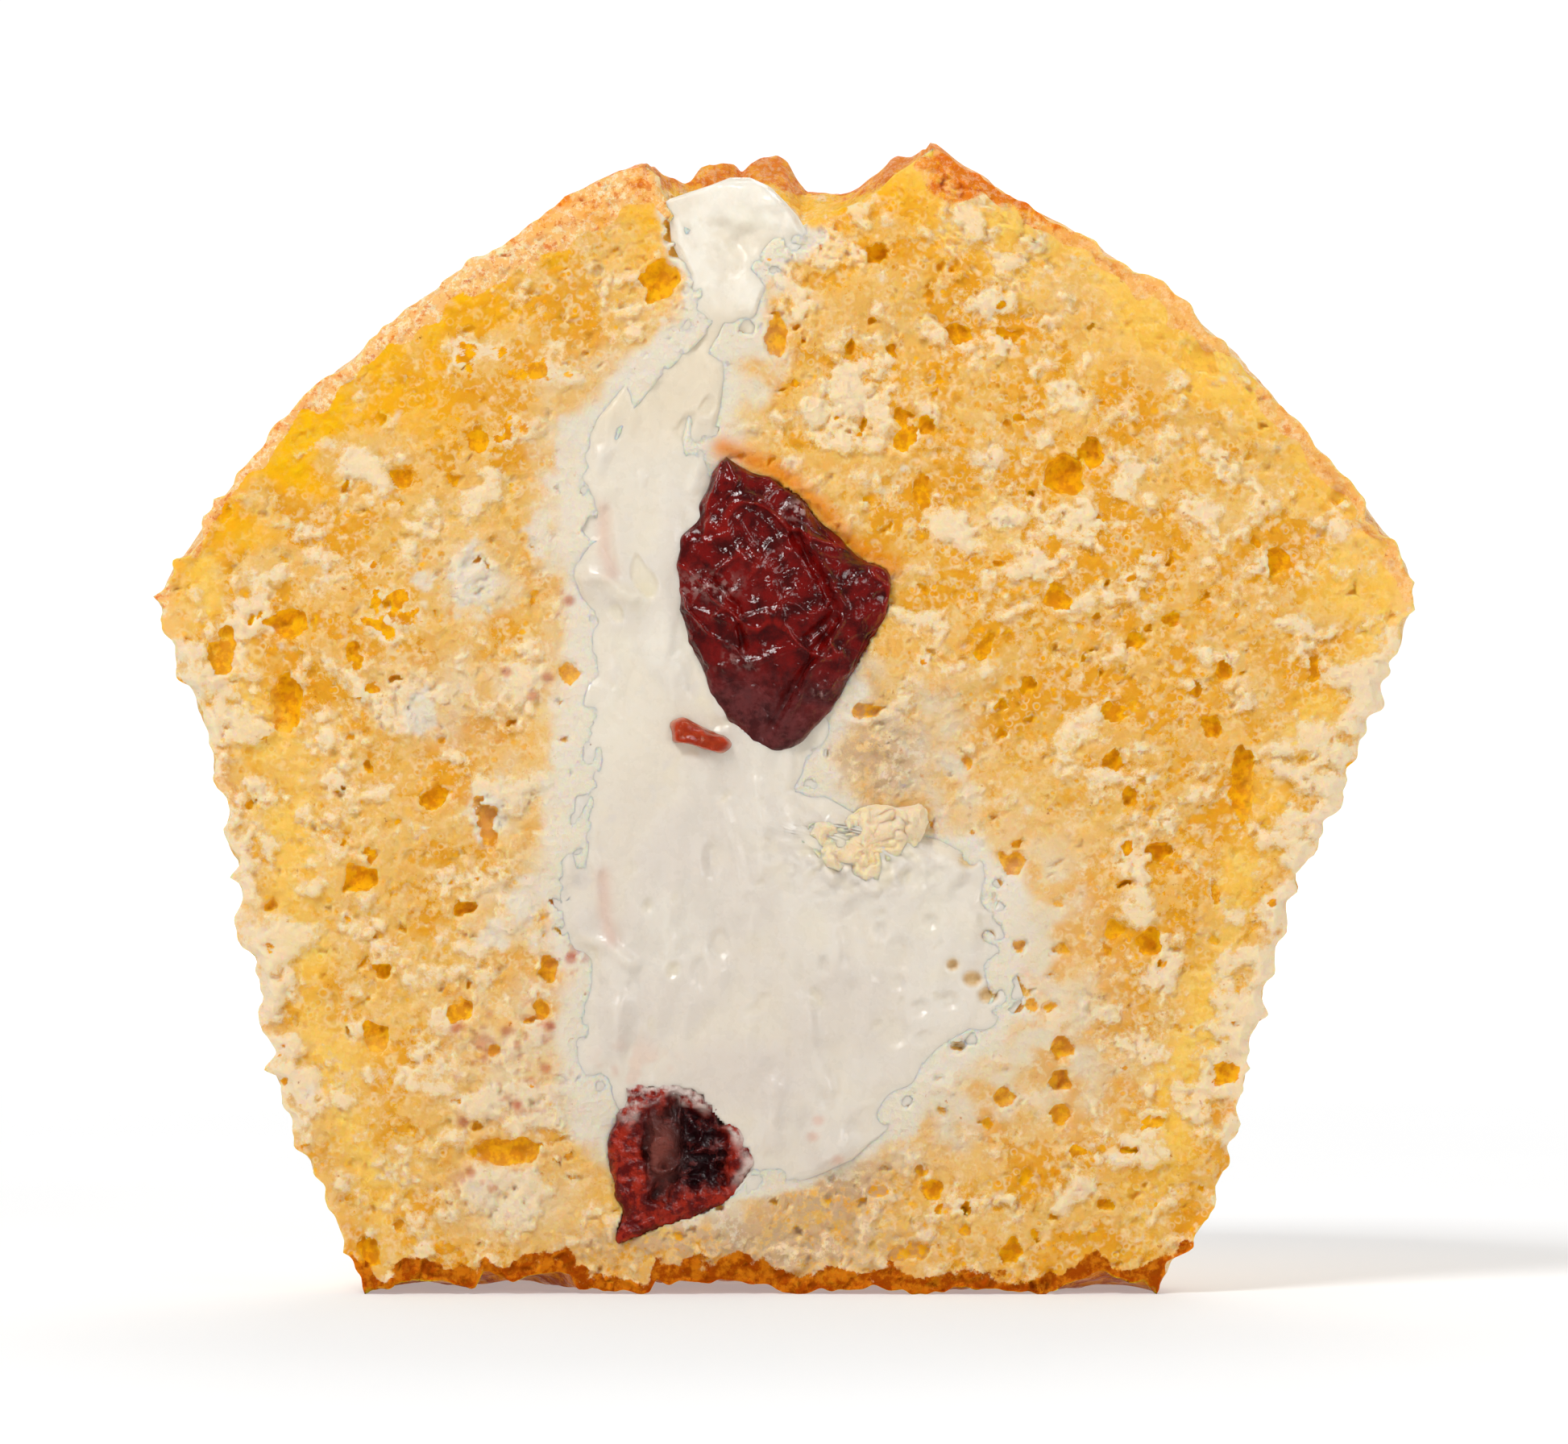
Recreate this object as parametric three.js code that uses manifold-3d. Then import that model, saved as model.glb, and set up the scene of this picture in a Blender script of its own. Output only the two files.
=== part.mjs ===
// Half of a cream-filled muffin, cut down the middle from its crown to its base and standing on that base.
// Millimetres, +Z up. The cut face looks along -Y, with the muffin's left and right on -X and +X.
// The shapes are drawn with the cut in the plane y = 0; the group then moves so that its origin is on the
// base, under the middle of the bounding box.
import * as THREE from "three";
import { mergeVertices } from "three/addons/utils/BufferGeometryUtils.js";
import Module from "manifold-3d";

const wasm = await Module();
wasm.setup();

// ---- Driving dimensions ----
const LIP_HALF_WIDTH = 35; // widest place, where the top overhangs the wall
const LIP_Z = 38.9;
const CREST_LEFT_Z = 63.1; // crust beside the filling hole, on the left of the cut
const CREST_RIGHT_Z = 64.1;
const PLEATS = 44; // folds that the paper case pressed round the whole wall
const PLEAT_DEPTH = 0.6;
const PLEAT_FADE = 0.6; // rows past the foot and the lip at which the pleats would be gone
const POINTS_PER_PLEAT = 4;
const WALL_ROWS = 7;
const DOME_ROWS = 8;
const FIT_GAP = 0.3; // clearance that keeps crumb, cream and fruit apart
const CHERRY_PROUD = 1.6; // how far the upper cherry stands out of the cut face
const RING_POINTS = 28; // points round the cream and the fruit
const BLOB_RINGS = 7; // rings from the back of a fruit to its front
const KNIFE_BOX = 200; // side of the block that the cut removes

// Wall and top, as [x, z] on the left and on the right of the cut. The wall flares like its paper case, and
// the right foot is rubbed away a little more than the left one.
const WALL_LEFT = [
  [-23.4, 0],
  [-25.4, 5],
  [-28.2, 12],
  [-30.2, 21],
  [-31.6, 28],
  [-34.2, 36.5],
];
const WALL_RIGHT = [
  [20.8, 0],
  [23.9, 5],
  [25.8, 12],
  [28, 21],
  [31, 28],
  [34.4, 36.5],
];
const DOME_LEFT = [
  [-LIP_HALF_WIDTH, LIP_Z],
  [-33.2, 41.8],
  [-27, 49.7],
  [-20.7, 55.1],
  [-12.3, 60.9],
  [-7.8, CREST_LEFT_Z],
];
const DOME_RIGHT = [
  [LIP_HALF_WIDTH, LIP_Z],
  [34.2, 41.8],
  [27.7, 49.7],
  [22.5, 55.1],
  [13.4, 60.9],
  [8.4, CREST_RIGHT_Z],
];
// The hole in the crown that the cream went in through: its edge, then its floor.
const HOLE_EDGE = { left: [-6.6, 61.4], right: [2.4, 61.7] };
const HOLE_FLOOR = [-2.6, 59.6];

// The cream from its plug in the crown to its foot: height, left edge and right edge in the cut, and depth
// behind the cut.
const CREAM_ROWS = [
  { z: 62.1, left: -4, right: -1.6, depth: 1.2 },
  { z: 61.2, left: -6, right: -0.6, depth: 3 },
  { z: 59, left: -5.8, right: 0.5, depth: 3.6 },
  { z: 56.5, left: -5.6, right: -0.9, depth: 2.8 },
  { z: 53.5, left: -6.6, right: -2.4, depth: 2.6 },
  { z: 50.5, left: -8.6, right: -3.3, depth: 3.5 },
  { z: 46.5, left: -12, right: -3, depth: 5.5 },
  { z: 41, left: -11.4, right: 3.5, depth: 8 },
  { z: 35.5, left: -10.6, right: 5, depth: 9.5 },
  { z: 30, left: -11.2, right: 8.4, depth: 10.5 },
  { z: 25, left: -12, right: 12, depth: 11.5 },
  { z: 20.5, left: -10.6, right: 14.3, depth: 12 },
  { z: 16, left: -11, right: 16, depth: 12 },
  { z: 12.2, left: -10.6, right: 14, depth: 10.5 },
  { z: 9, left: -8.5, right: 9.5, depth: 7.5 },
  { z: 6.6, left: -4.5, right: 5.5, depth: 4 },
];
const CREAM_TOP = { x: -2.6, z: 62.4 };
const CREAM_FOOT = { x: 0.8, z: 5.6 };

// Fruit and loose crumb, each an outline in the cut about its own centre, with how far it reaches in front
// of the cut and behind it.
const UPPER_CHERRY = {
  centre: [-0.1, 38.7],
  outline: [
    [-3, 8],
    [1.3, 5.6],
    [6, 1.9],
    [5.3, -2.2],
    [2.2, -6.7],
    [-1.4, -8.3],
    [-4.3, -5.2],
    [-5.9, 1.1],
    [-5.3, 4.8],
  ],
  front: CHERRY_PROUD,
  back: 6.4,
};
const LOWER_CHERRY = {
  centre: [-5.7, 7.5],
  outline: [
    [-2.8, 4.2],
    [1.1, 4.3],
    [4.5, 0.4],
    [1.6, -2.6],
    [-3.5, -4.7],
    [-3.8, -1.2],
    [-4, 1.4],
  ],
  front: 0.8,
  back: 5.4,
};
const CHERRY_SLIVER = {
  centre: [-4.7, 31.2],
  outline: [
    [-1.8, 0.8],
    [0.3, 0.6],
    [1.9, -0.5],
    [0.9, -1],
    [-0.9, -0.6],
  ],
  front: 0.7,
  back: 0.8,
};
const TORN_CRUMB = {
  centre: [4.6, 24.8],
  outline: [
    [-3.4, 0.9],
    [-0.4, 1.9],
    [3.2, 2],
    [2.9, -0.4],
    [0.6, -2.3],
    [-2.2, -1.2],
  ],
  front: 0.7,
  back: 1.2,
};

// ---- Shape helpers ----

// A closed geometry through a stack of rings, from one end point to the other. Each ring runs anticlockwise
// as seen from the last end.
function stack(first, rings, last) {
  const count = rings[0].length;
  const points = [first, ...rings.flat(), last];
  const corner = (ring, i) => 1 + ring * count + (i % count);
  const top = points.length - 1;
  const faces = [];
  for (let i = 0; i < count; i++) {
    faces.push(0, corner(0, i + 1), corner(0, i));
    for (let r = 0; r + 1 < rings.length; r++) {
      const [a, b] = [corner(r, i), corner(r, i + 1)];
      const [c, d] = [corner(r + 1, i + 1), corner(r + 1, i)];
      faces.push(a, b, c, a, c, d);
    }
    faces.push(top, corner(rings.length - 1, i), corner(rings.length - 1, i + 1));
  }
  return new THREE.BufferGeometry().setFromPoints(points).setIndex(faces);
}

// A level or tilted ellipse between a left and a right point of the cut, as deep as it is asked to be.
function ellipse(left, right, depth, count, wave = () => 1) {
  const [middleX, middleZ] = [(left[0] + right[0]) / 2, (left[1] + right[1]) / 2];
  const [halfX, halfZ] = [(right[0] - left[0]) / 2, (right[1] - left[1]) / 2];
  return Array.from({ length: count }, (_, i) => {
    const turn = (2 * Math.PI * i) / count;
    const reach = wave(turn);
    const across = Math.cos(turn) * reach;
    const behind = Math.sin(turn) * reach * depth;
    return new THREE.Vector3(middleX + halfX * across, behind, middleZ + halfZ * across);
  });
}

// A rounded body whose widest section is a closed curve in the cut plane, grown all round by a gap.
function blob({ centre, outline, front, back }, gap = 0) {
  const curve = new THREE.CatmullRomCurve3(
    outline.map(([x, z]) => new THREE.Vector3(x, 0, z)),
    true,
  );
  const rim = curve.getSpacedPoints(RING_POINTS).slice(0, RING_POINTS);
  if (THREE.ShapeUtils.area(rim.map((p) => new THREE.Vector2(p.x, p.z))) < 0) rim.reverse();
  const at = (x, y, z) => new THREE.Vector3(centre[0] + x, y, centre[1] + z);
  const rings = Array.from({ length: BLOB_RINGS }, (_, r) => {
    const latitude = Math.PI * ((r + 1) / (BLOB_RINGS + 1) - 0.5);
    const depth = latitude < 0 ? back + gap : front + gap;
    return rim.map((p) => {
      const reach = Math.cos(latitude) * (1 + gap / p.length());
      return at(p.x * reach, -Math.sin(latitude) * depth, p.z * reach);
    });
  });
  return stack(at(0, back + gap, 0), rings, at(0, -front - gap, 0));
}

// The cream, grown all round by a gap. It is a full round here, and is trimmed at the cut later.
function creamGeometry(gap = 0) {
  const rings = CREAM_ROWS.toReversed().map(({ z, left, right, depth }) =>
    ellipse([left - gap, z], [right + gap, z], depth + gap, RING_POINTS),
  );
  const foot = new THREE.Vector3(CREAM_FOOT.x, 0, CREAM_FOOT.z - gap);
  const top = new THREE.Vector3(CREAM_TOP.x, 0, CREAM_TOP.z + gap);
  return stack(foot, rings, top);
}

// The whole muffin before it is cut: pleated wall, overhanging top and the hole in its crown.
function muffinGeometry() {
  const count = PLEATS * POINTS_PER_PLEAT;
  const points = (outline, rows) =>
    new THREE.SplineCurve(outline.map(([x, z]) => new THREE.Vector2(x, z)))
      .getSpacedPoints(rows)
      .map((p) => [p.x, p.y]);
  const ring = (left, right, wave) =>
    ellipse(left, right, (right[0] - left[0]) / 2, count, wave);
  const pleated = (strength, radius) => (turn) =>
    1 - (PLEAT_DEPTH * strength * (0.5 - 0.5 * Math.cos(PLEATS * turn))) / radius;
  const wallRight = points(WALL_RIGHT, WALL_ROWS);
  const wall = points(WALL_LEFT, WALL_ROWS).map((left, row) => {
    const strength = Math.sin((Math.PI * (row + PLEAT_FADE)) / (WALL_ROWS + 2 * PLEAT_FADE));
    return ring(left, wallRight[row], pleated(strength, LIP_HALF_WIDTH));
  });
  const domeRight = points(DOME_RIGHT, DOME_ROWS);
  const dome = points(DOME_LEFT, DOME_ROWS).map((left, row) => ring(left, domeRight[row]));
  const hole = ring(HOLE_EDGE.left, HOLE_EDGE.right);
  const foot = new THREE.Vector3((WALL_LEFT[0][0] + WALL_RIGHT[0][0]) / 2, 0, 0);
  const floor = new THREE.Vector3(HOLE_FLOOR[0], 0, HOLE_FLOOR[1]);
  return stack(foot, [...wall, ...dome, hole], floor);
}

// ---- Solids ----

function toSolid(geometry) {
  const vertProperties = new Float32Array(geometry.getAttribute("position").array);
  const triVerts = new Uint32Array(geometry.index.array);
  return new wasm.Manifold(new wasm.Mesh({ numProp: 3, vertProperties, triVerts }));
}

// The largest body, without the slivers that a cut can leave.
function mainBody(solid) {
  return solid.decompose().sort((a, b) => b.volume() - a.volume())[0];
}

function toMesh(name, solid, material) {
  const { vertProperties, triVerts } = solid.getMesh();
  const geometry = new THREE.BufferGeometry();
  geometry.setAttribute("position", new THREE.BufferAttribute(vertProperties, 3));
  geometry.setIndex(new THREE.BufferAttribute(triVerts, 1));
  geometry.computeVertexNormals();
  const mesh = new THREE.Mesh(geometry, material);
  mesh.name = name;
  return mesh;
}

// What the knife took away: everything in front of the cut.
function knifeGeometry() {
  const box = new THREE.BoxGeometry(KNIFE_BOX, KNIFE_BOX, KNIFE_BOX);
  box.translate(0, -KNIFE_BOX / 2, KNIFE_BOX / 4);
  box.deleteAttribute("normal");
  box.deleteAttribute("uv");
  return mergeVertices(box);
}

const knife = toSolid(knifeGeometry());
const upperCherryRoom = toSolid(blob(UPPER_CHERRY, FIT_GAP));
const lowerCherryRoom = toSolid(blob(LOWER_CHERRY, FIT_GAP));
const sliverRoom = toSolid(blob(CHERRY_SLIVER, FIT_GAP));
const tornCrumbRoom = toSolid(blob(TORN_CRUMB, FIT_GAP));

const crumb = toSolid(muffinGeometry())
  .subtract(knife)
  .subtract(toSolid(creamGeometry(FIT_GAP)))
  .subtract(upperCherryRoom)
  .subtract(lowerCherryRoom);
const cream = toSolid(creamGeometry())
  .subtract(knife)
  .subtract(upperCherryRoom)
  .subtract(lowerCherryRoom)
  .subtract(sliverRoom)
  .subtract(tornCrumbRoom);
const sliver = toSolid(blob(CHERRY_SLIVER)).subtract(upperCherryRoom);

// ---- Finishes and the assembled half ----

const finish = (color, roughness) =>
  new THREE.MeshStandardMaterial({ color, roughness, metalness: 0 });
const crumbFinish = finish("#edc878", 0.85);
const creamFinish = finish("#f3ecdf", 0.45);
const cherryFinish = finish("#5a0f14", 0.25);
const sliverFinish = finish("#a5281c", 0.3);

const halfMuffin = new THREE.Group();
halfMuffin.add(
  toMesh("muffin_crumb", mainBody(crumb), crumbFinish),
  toMesh("cream_filling", mainBody(cream), creamFinish),
  toMesh("upper_cherry", toSolid(blob(UPPER_CHERRY)), cherryFinish),
  toMesh("lower_cherry", toSolid(blob(LOWER_CHERRY)), cherryFinish),
  toMesh("cherry_sliver", mainBody(sliver), sliverFinish),
  toMesh("torn_crumb", toSolid(blob(TORN_CRUMB)), crumbFinish),
);
halfMuffin.position.y = -(LIP_HALF_WIDTH - CHERRY_PROUD) / 2;

export default halfMuffin;
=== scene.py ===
# %% [markdown]
# # Half a cream muffin
# A muffin that was filled with cream and cherries, then cut in two with a knife. The packed model gives the
# real size and the place of every piece. Each piece is built again here with the surface that the real one
# has, and takes the place of its plain solid.

# %% Load the packed model
import math

import bpy
import numpy as np
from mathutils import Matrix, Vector


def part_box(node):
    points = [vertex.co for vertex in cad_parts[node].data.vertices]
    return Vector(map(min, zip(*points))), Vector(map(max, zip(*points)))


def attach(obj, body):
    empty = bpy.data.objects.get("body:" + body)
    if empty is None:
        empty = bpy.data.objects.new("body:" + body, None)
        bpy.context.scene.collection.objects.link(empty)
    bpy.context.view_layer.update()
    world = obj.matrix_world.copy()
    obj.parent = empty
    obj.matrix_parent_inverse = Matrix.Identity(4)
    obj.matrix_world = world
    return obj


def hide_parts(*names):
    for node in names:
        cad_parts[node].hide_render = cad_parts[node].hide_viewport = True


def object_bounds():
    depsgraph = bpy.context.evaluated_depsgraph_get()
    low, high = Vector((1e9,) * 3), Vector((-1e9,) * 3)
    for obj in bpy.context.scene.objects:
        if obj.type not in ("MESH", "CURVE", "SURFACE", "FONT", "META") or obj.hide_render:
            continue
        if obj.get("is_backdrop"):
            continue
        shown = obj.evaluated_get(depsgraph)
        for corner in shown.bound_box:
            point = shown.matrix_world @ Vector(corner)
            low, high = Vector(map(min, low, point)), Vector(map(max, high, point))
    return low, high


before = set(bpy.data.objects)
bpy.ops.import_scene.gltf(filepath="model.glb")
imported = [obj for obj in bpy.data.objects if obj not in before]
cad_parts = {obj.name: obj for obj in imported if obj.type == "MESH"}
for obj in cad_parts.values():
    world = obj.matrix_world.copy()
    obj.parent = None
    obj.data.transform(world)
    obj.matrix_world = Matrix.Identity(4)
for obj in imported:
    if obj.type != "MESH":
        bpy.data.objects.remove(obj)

cad_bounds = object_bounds()
MM = 0.001
print("nodes:", ", ".join(sorted(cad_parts)))

# %% [markdown]
# ## Where the cut is
# The knife left one flat face, which looks along -Y. Everything on it is measured from that plane: x to the
# side, z up from the foot, and height out of the face. All shape work is in millimetres, and a mesh is
# turned into metres when it is made.

# %% Read the cut plane and the size of the half
crumb_low, crumb_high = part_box("muffin_crumb")
CUT_Y = crumb_low.y / MM
LIP = crumb_high.x / MM
CREST = crumb_high.z / MM
CELL = 0.15
print(f"cut at y = {CUT_Y:.1f} mm, {2 * LIP:.1f} mm wide, {CREST:.1f} mm high")

# %% [markdown]
# ## Camera, light and floor
# The eye is level with the middle of the cut face and straight in front of it. A long lens keeps the sides
# from leaning. Two soft lamps in front light the sponge evenly, and one behind lights the crust. The sky is
# dim in front, and the floor is left out of reflections, so that the wet fruit stays dark between its
# highlights. The floor is a plain pale sheet that glows more with distance, as paper does when it is lit
# from below.

# %% The camera
VIEW_DISTANCE = 0.5
ROOM_AROUND = 1.25
VIEW_WIDTH = 2 * LIP * MM * ROOM_AROUND
EYE_LEVEL = 0.498 * CREST * MM


def aim(thing, at):
    """Turns a lamp or the camera so that it looks at a point."""
    thing.rotation_euler = (Vector(at) - thing.location).to_track_quat("-Z", "Y").to_euler()


eye = bpy.data.objects.new("eye", bpy.data.cameras.new("eye"))
bpy.context.collection.objects.link(eye)
middle = Vector((0, CUT_Y * MM, EYE_LEVEL))
eye.location = middle + Vector((0, -VIEW_DISTANCE, 0))
aim(eye, middle)
eye.data.lens = eye.data.sensor_width * VIEW_DISTANCE / VIEW_WIDTH
bpy.context.scene.camera = eye
print(f"lens {eye.data.lens:.0f} mm")

# %% The lamps
LAMPS = [
    ("key_lamp", (-0.32, -0.55, 0.72), 0.28, 5.3),
    ("fill_lamp", (0.62, -0.72, 0.3), 0.3, 1.8),
    ("back_lamp", (0.1, 0.75, 0.6), 0.5, 2.4),
]


def soft_lamp(name, place, size, power):
    """A square lamp that looks at the muffin. The size is in metres and the power in watts."""
    data = bpy.data.lights.new(name, "AREA")
    data.size = size
    data.energy = power
    lamp = bpy.data.objects.new(name, data)
    lamp.location = place
    aim(lamp, middle)
    bpy.context.collection.objects.link(lamp)
    return lamp


for lamp in LAMPS:
    soft_lamp(*lamp)
print(len(LAMPS), "lamps")

# %% The sky
GLOW_IN_FRONT, GLOW_BEHIND = 0.12, 1.06
sky = bpy.data.worlds.new("studio")
sky.use_nodes = True
bpy.context.scene.world = sky
tree = sky.node_tree
facing = tree.nodes.new("ShaderNodeSeparateXYZ")
glow = tree.nodes.new("ShaderNodeMapRange")
glow.inputs["From Min"].default_value = -0.2
glow.inputs["From Max"].default_value = 0.8
glow.inputs["To Min"].default_value = GLOW_IN_FRONT
glow.inputs["To Max"].default_value = GLOW_BEHIND
tree.links.new(tree.nodes.new("ShaderNodeTexCoord").outputs["Generated"], facing.inputs[0])
tree.links.new(facing.outputs["Y"], glow.inputs["Value"])
tree.links.new(glow.outputs[0], tree.nodes["Background"].inputs["Strength"])
tree.nodes["Background"].inputs["Color"].default_value = (1, 1, 1, 1)
bpy.context.scene.view_settings.view_transform = "Standard"
print(f"the sky goes from {GLOW_IN_FRONT} in front to {GLOW_BEHIND} behind")

# %% [markdown]
# ## Ways to build a finish
# A material here is a short chain. It starts from one colour and lets a mask tint it, and each mask is
# either a value that is stored on the mesh, such as how deep a pore is, or a noise. The helper class keeps
# the chain readable.

# %% The finish helper
class Finish:
    """One material, with short ways to add the nodes that its colour and bumps need."""

    def __init__(self, name, **sockets):
        self.material = bpy.data.materials.new(name)
        self.material.use_nodes = True
        self.nodes = self.material.node_tree.nodes
        self.links = self.material.node_tree.links
        self.shader = self.nodes["Principled BSDF"]
        for socket, value in sockets.items():
            self.shader.inputs[socket.replace("_", " ")].default_value = value
        self.place = self.nodes.new("ShaderNodeTexCoord").outputs["Object"]

    def put(self, value, socket):
        """Sets a socket from a number or a colour, or links it to another node."""
        if isinstance(value, bpy.types.NodeSocket):
            self.links.new(value, socket)
        elif isinstance(value, tuple):
            socket.default_value = (*value, 1)
        else:
            socket.default_value = value

    def stored(self, name):
        """A value that is stored on the mesh."""
        node = self.nodes.new("ShaderNodeAttribute")
        node.attribute_name = name
        return node.outputs["Fac"]

    def noise(self, size, detail=2.0, roughness=0.5):
        """Cloudy noise from 0 to 1, with lumps about size mm across."""
        node = self.nodes.new("ShaderNodeTexNoise")
        self.put(self.place, node.inputs["Vector"])
        self.put(1 / (size * MM), node.inputs["Scale"])
        self.put(detail, node.inputs["Detail"])
        self.put(roughness, node.inputs["Roughness"])
        return node.outputs["Fac"]

    def bent_place(self, size, much):
        """The place on the object, pushed about by noise, by up to about much mm."""
        noise = self.nodes.new("ShaderNodeTexNoise")
        self.put(self.place, noise.inputs["Vector"])
        self.put(1 / (size * MM), noise.inputs["Scale"])
        push = self.nodes.new("ShaderNodeVectorMath")
        push.operation = "MULTIPLY_ADD"
        self.put(noise.outputs["Color"], push.inputs[0])
        push.inputs[1].default_value = (2 * much * MM,) * 3
        self.put(self.place, push.inputs[2])
        return push.outputs[0]

    def cells(self, size, feature="F1", bent=0.0):
        """Distance to the middle, or to the edge, of the nearest of many cells of about size mm."""
        node = self.nodes.new("ShaderNodeTexVoronoi")
        node.feature = feature
        self.put(self.bent_place(size, bent) if bent else self.place, node.inputs["Vector"])
        self.put(1 / (size * MM), node.inputs["Scale"])
        return node.outputs["Distance"]

    def between(self, value, low, high, to_low=0.0, to_high=1.0):
        """Maps low..high smoothly onto to_low..to_high, and clamps it."""
        node = self.nodes.new("ShaderNodeMapRange")
        node.interpolation_type = "SMOOTHSTEP"
        for number, socket in zip((value, low, high, to_low, to_high), node.inputs):
            self.put(number, socket)
        return node.outputs[0]

    def maths(self, operation, a, b=0.0, c=0.0):
        """A sum, a product and so on of numbers and other nodes."""
        node = self.nodes.new("ShaderNodeMath")
        node.operation = operation
        for number, socket in zip((a, b, c), node.inputs):
            self.put(number, socket)
        return node.outputs[0]

    def share(self, name, part):
        """A stored value times a number or another mask."""
        return self.maths("MULTIPLY", self.stored(name), part)

    def tint(self, base, colour, mask):
        """base turned into colour where mask is 1."""
        node = self.nodes.new("ShaderNodeMix")
        node.data_type = "RGBA"
        self.put(mask, node.inputs[0])
        self.put(base, node.inputs[6])
        self.put(colour, node.inputs[7])
        return node.outputs[2]

    def colour(self, socket):
        """Sets the colour of the surface."""
        self.put(socket, self.shader.inputs["Base Color"])

    def rough(self, socket):
        """Sets how dull (1) or glossy (0) the surface is."""
        self.put(socket, self.shader.inputs["Roughness"])

    def bump(self, *layers):
        """Bumps from (height, depth in mm) pairs, one on top of the other."""
        normal = None
        for height, depth in layers:
            node = self.nodes.new("ShaderNodeBump")
            self.put(depth * MM, node.inputs["Distance"])
            self.put(height, node.inputs["Height"])
            if normal is not None:
                self.put(normal, node.inputs["Normal"])
            normal = node.outputs[0]
        self.put(normal, self.shader.inputs["Normal"])


print("a finish has", len([name for name in vars(Finish) if not name.startswith("_")]), "tools")

# %% The floor
FLOOR_HALF = 12.0
floor_mesh = bpy.data.meshes.new("floor")
corners = [(-1, -1), (1, -1), (1, 1), (-1, 1)]
floor_mesh.from_pydata([(x * FLOOR_HALF, y * FLOOR_HALF, 0) for x, y in corners], [], [(0, 1, 2, 3)])
floor = bpy.data.objects.new("floor", floor_mesh)
bpy.context.collection.objects.link(floor)
paper = Finish("pale_paper", Roughness=0.9, Specular_IOR_Level=0.1)
paper.shader.inputs["Emission Color"].default_value = (1, 1, 1, 1)
paper.colour(paper.tint((0.66, 0.66, 0.66), (0.7, 0.7, 0.7), paper.noise(60)))
from_middle = paper.nodes.new("ShaderNodeVectorMath")
from_middle.operation = "LENGTH"
paper.put(paper.place, from_middle.inputs[0])
lit = paper.between(from_middle.outputs["Value"], 0.1, 1.3, 0.3, 0.85)
paper.put(lit, paper.shader.inputs["Emission Strength"])
floor_mesh.materials.append(paper.material)
floor.visible_glossy = False
floor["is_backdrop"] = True
print(f"the floor is {2 * FLOOR_HALF:.0f} m wide")

# %% [markdown]
# ## Random fields
# A baked surface is random at many scales at once. Two helpers give that: a flat field, which is blurred
# noise on the cut face's grid of points, and a solid grain, which gives the same value for the same place
# however the mesh runs through it. Every call has a seed, so each run gives the same muffin.

# %% Fields on the cut face
PITCH = 0.1
GRID_X = np.arange(-37, 37, PITCH)
GRID_Z = np.arange(-2, 67, PITCH)
FACE_X, FACE_Z = np.meshgrid(GRID_X, GRID_Z)


def smooth(low, high, value):
    """0 below low, 1 above high, and a smooth step between them."""
    t = np.clip((value - low) / (high - low), 0, 1)
    return t * t * (3 - 2 * t)


def blur(field, size_x, size_z=None):
    """Blurs a field of the cut face. The sizes are in millimetres."""
    size_z = size_x if size_z is None else size_z
    turn_x = np.fft.rfftfreq(len(GRID_X), PITCH)[None, :]
    turn_z = np.fft.fftfreq(len(GRID_Z), PITCH)[:, None]
    keep = np.exp(-2 * math.pi**2 * ((turn_x * size_x) ** 2 + (turn_z * size_z) ** 2))
    return np.fft.irfft2(np.fft.rfft2(field) * keep, s=FACE_X.shape)


def cloud(seed, size, stretch=1.0):
    """A random field of unit spread with lumps about size mm high and size * stretch wide."""
    field = blur(np.random.default_rng(seed).standard_normal(FACE_X.shape), size * stretch / 3, size / 3)
    return (field - field.mean()) / field.std()


def sample(field, x, z):
    """The value of a field of the cut face at any points of it."""
    column = np.clip((x - GRID_X[0]) / PITCH, 0, len(GRID_X) - 1.001)
    row = np.clip((z - GRID_Z[0]) / PITCH, 0, len(GRID_Z) - 1.001)
    i, j = row.astype(int), column.astype(int)
    down, across = row - i, column - j
    lower = field[i, j] * (1 - across) + field[i, j + 1] * across
    upper = field[i + 1, j] * (1 - across) + field[i + 1, j + 1] * across
    return lower * (1 - down) + upper * down


print("the cut face has a grid of", FACE_X.shape, "points")

# %% Grain in the solid
LATTICE = 32


def grain(seed, points, size):
    """Smooth random values from -1 to 1 at 3-D points, with lumps about size mm across."""
    lattice = np.random.default_rng(seed).uniform(-1, 1, (LATTICE,) * 3)
    cell = points / size
    base = np.floor(cell).astype(int)
    part = cell - base
    part = part * part * (3 - 2 * part)
    total = 0
    for corner in np.ndindex(2, 2, 2):
        weight = np.prod(np.where(corner, part, 1 - part), axis=-1)
        at = (base + corner) % LATTICE
        total = total + weight * lattice[at[..., 0], at[..., 1], at[..., 2]]
    return total


def creases(seed, points, size):
    """Like grain, but folded, so that sharp ridges near 1 run between hollows."""
    return 1 - 2 * np.abs(grain(seed, points, size))


print("the grain repeats after", LATTICE, "lumps")

# %% Brushes on the cut face
def dab(x, z, half_x, half_z, soft=1.0):
    """1 in the middle of an ellipse, falling to 0 round its edge."""
    reach = np.sqrt(((FACE_X - x) / half_x) ** 2 + ((FACE_Z - z) / half_z) ** 2)
    return 1 - smooth(1 - 0.5 * soft, 1 + 0.5 * soft, reach)


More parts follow.
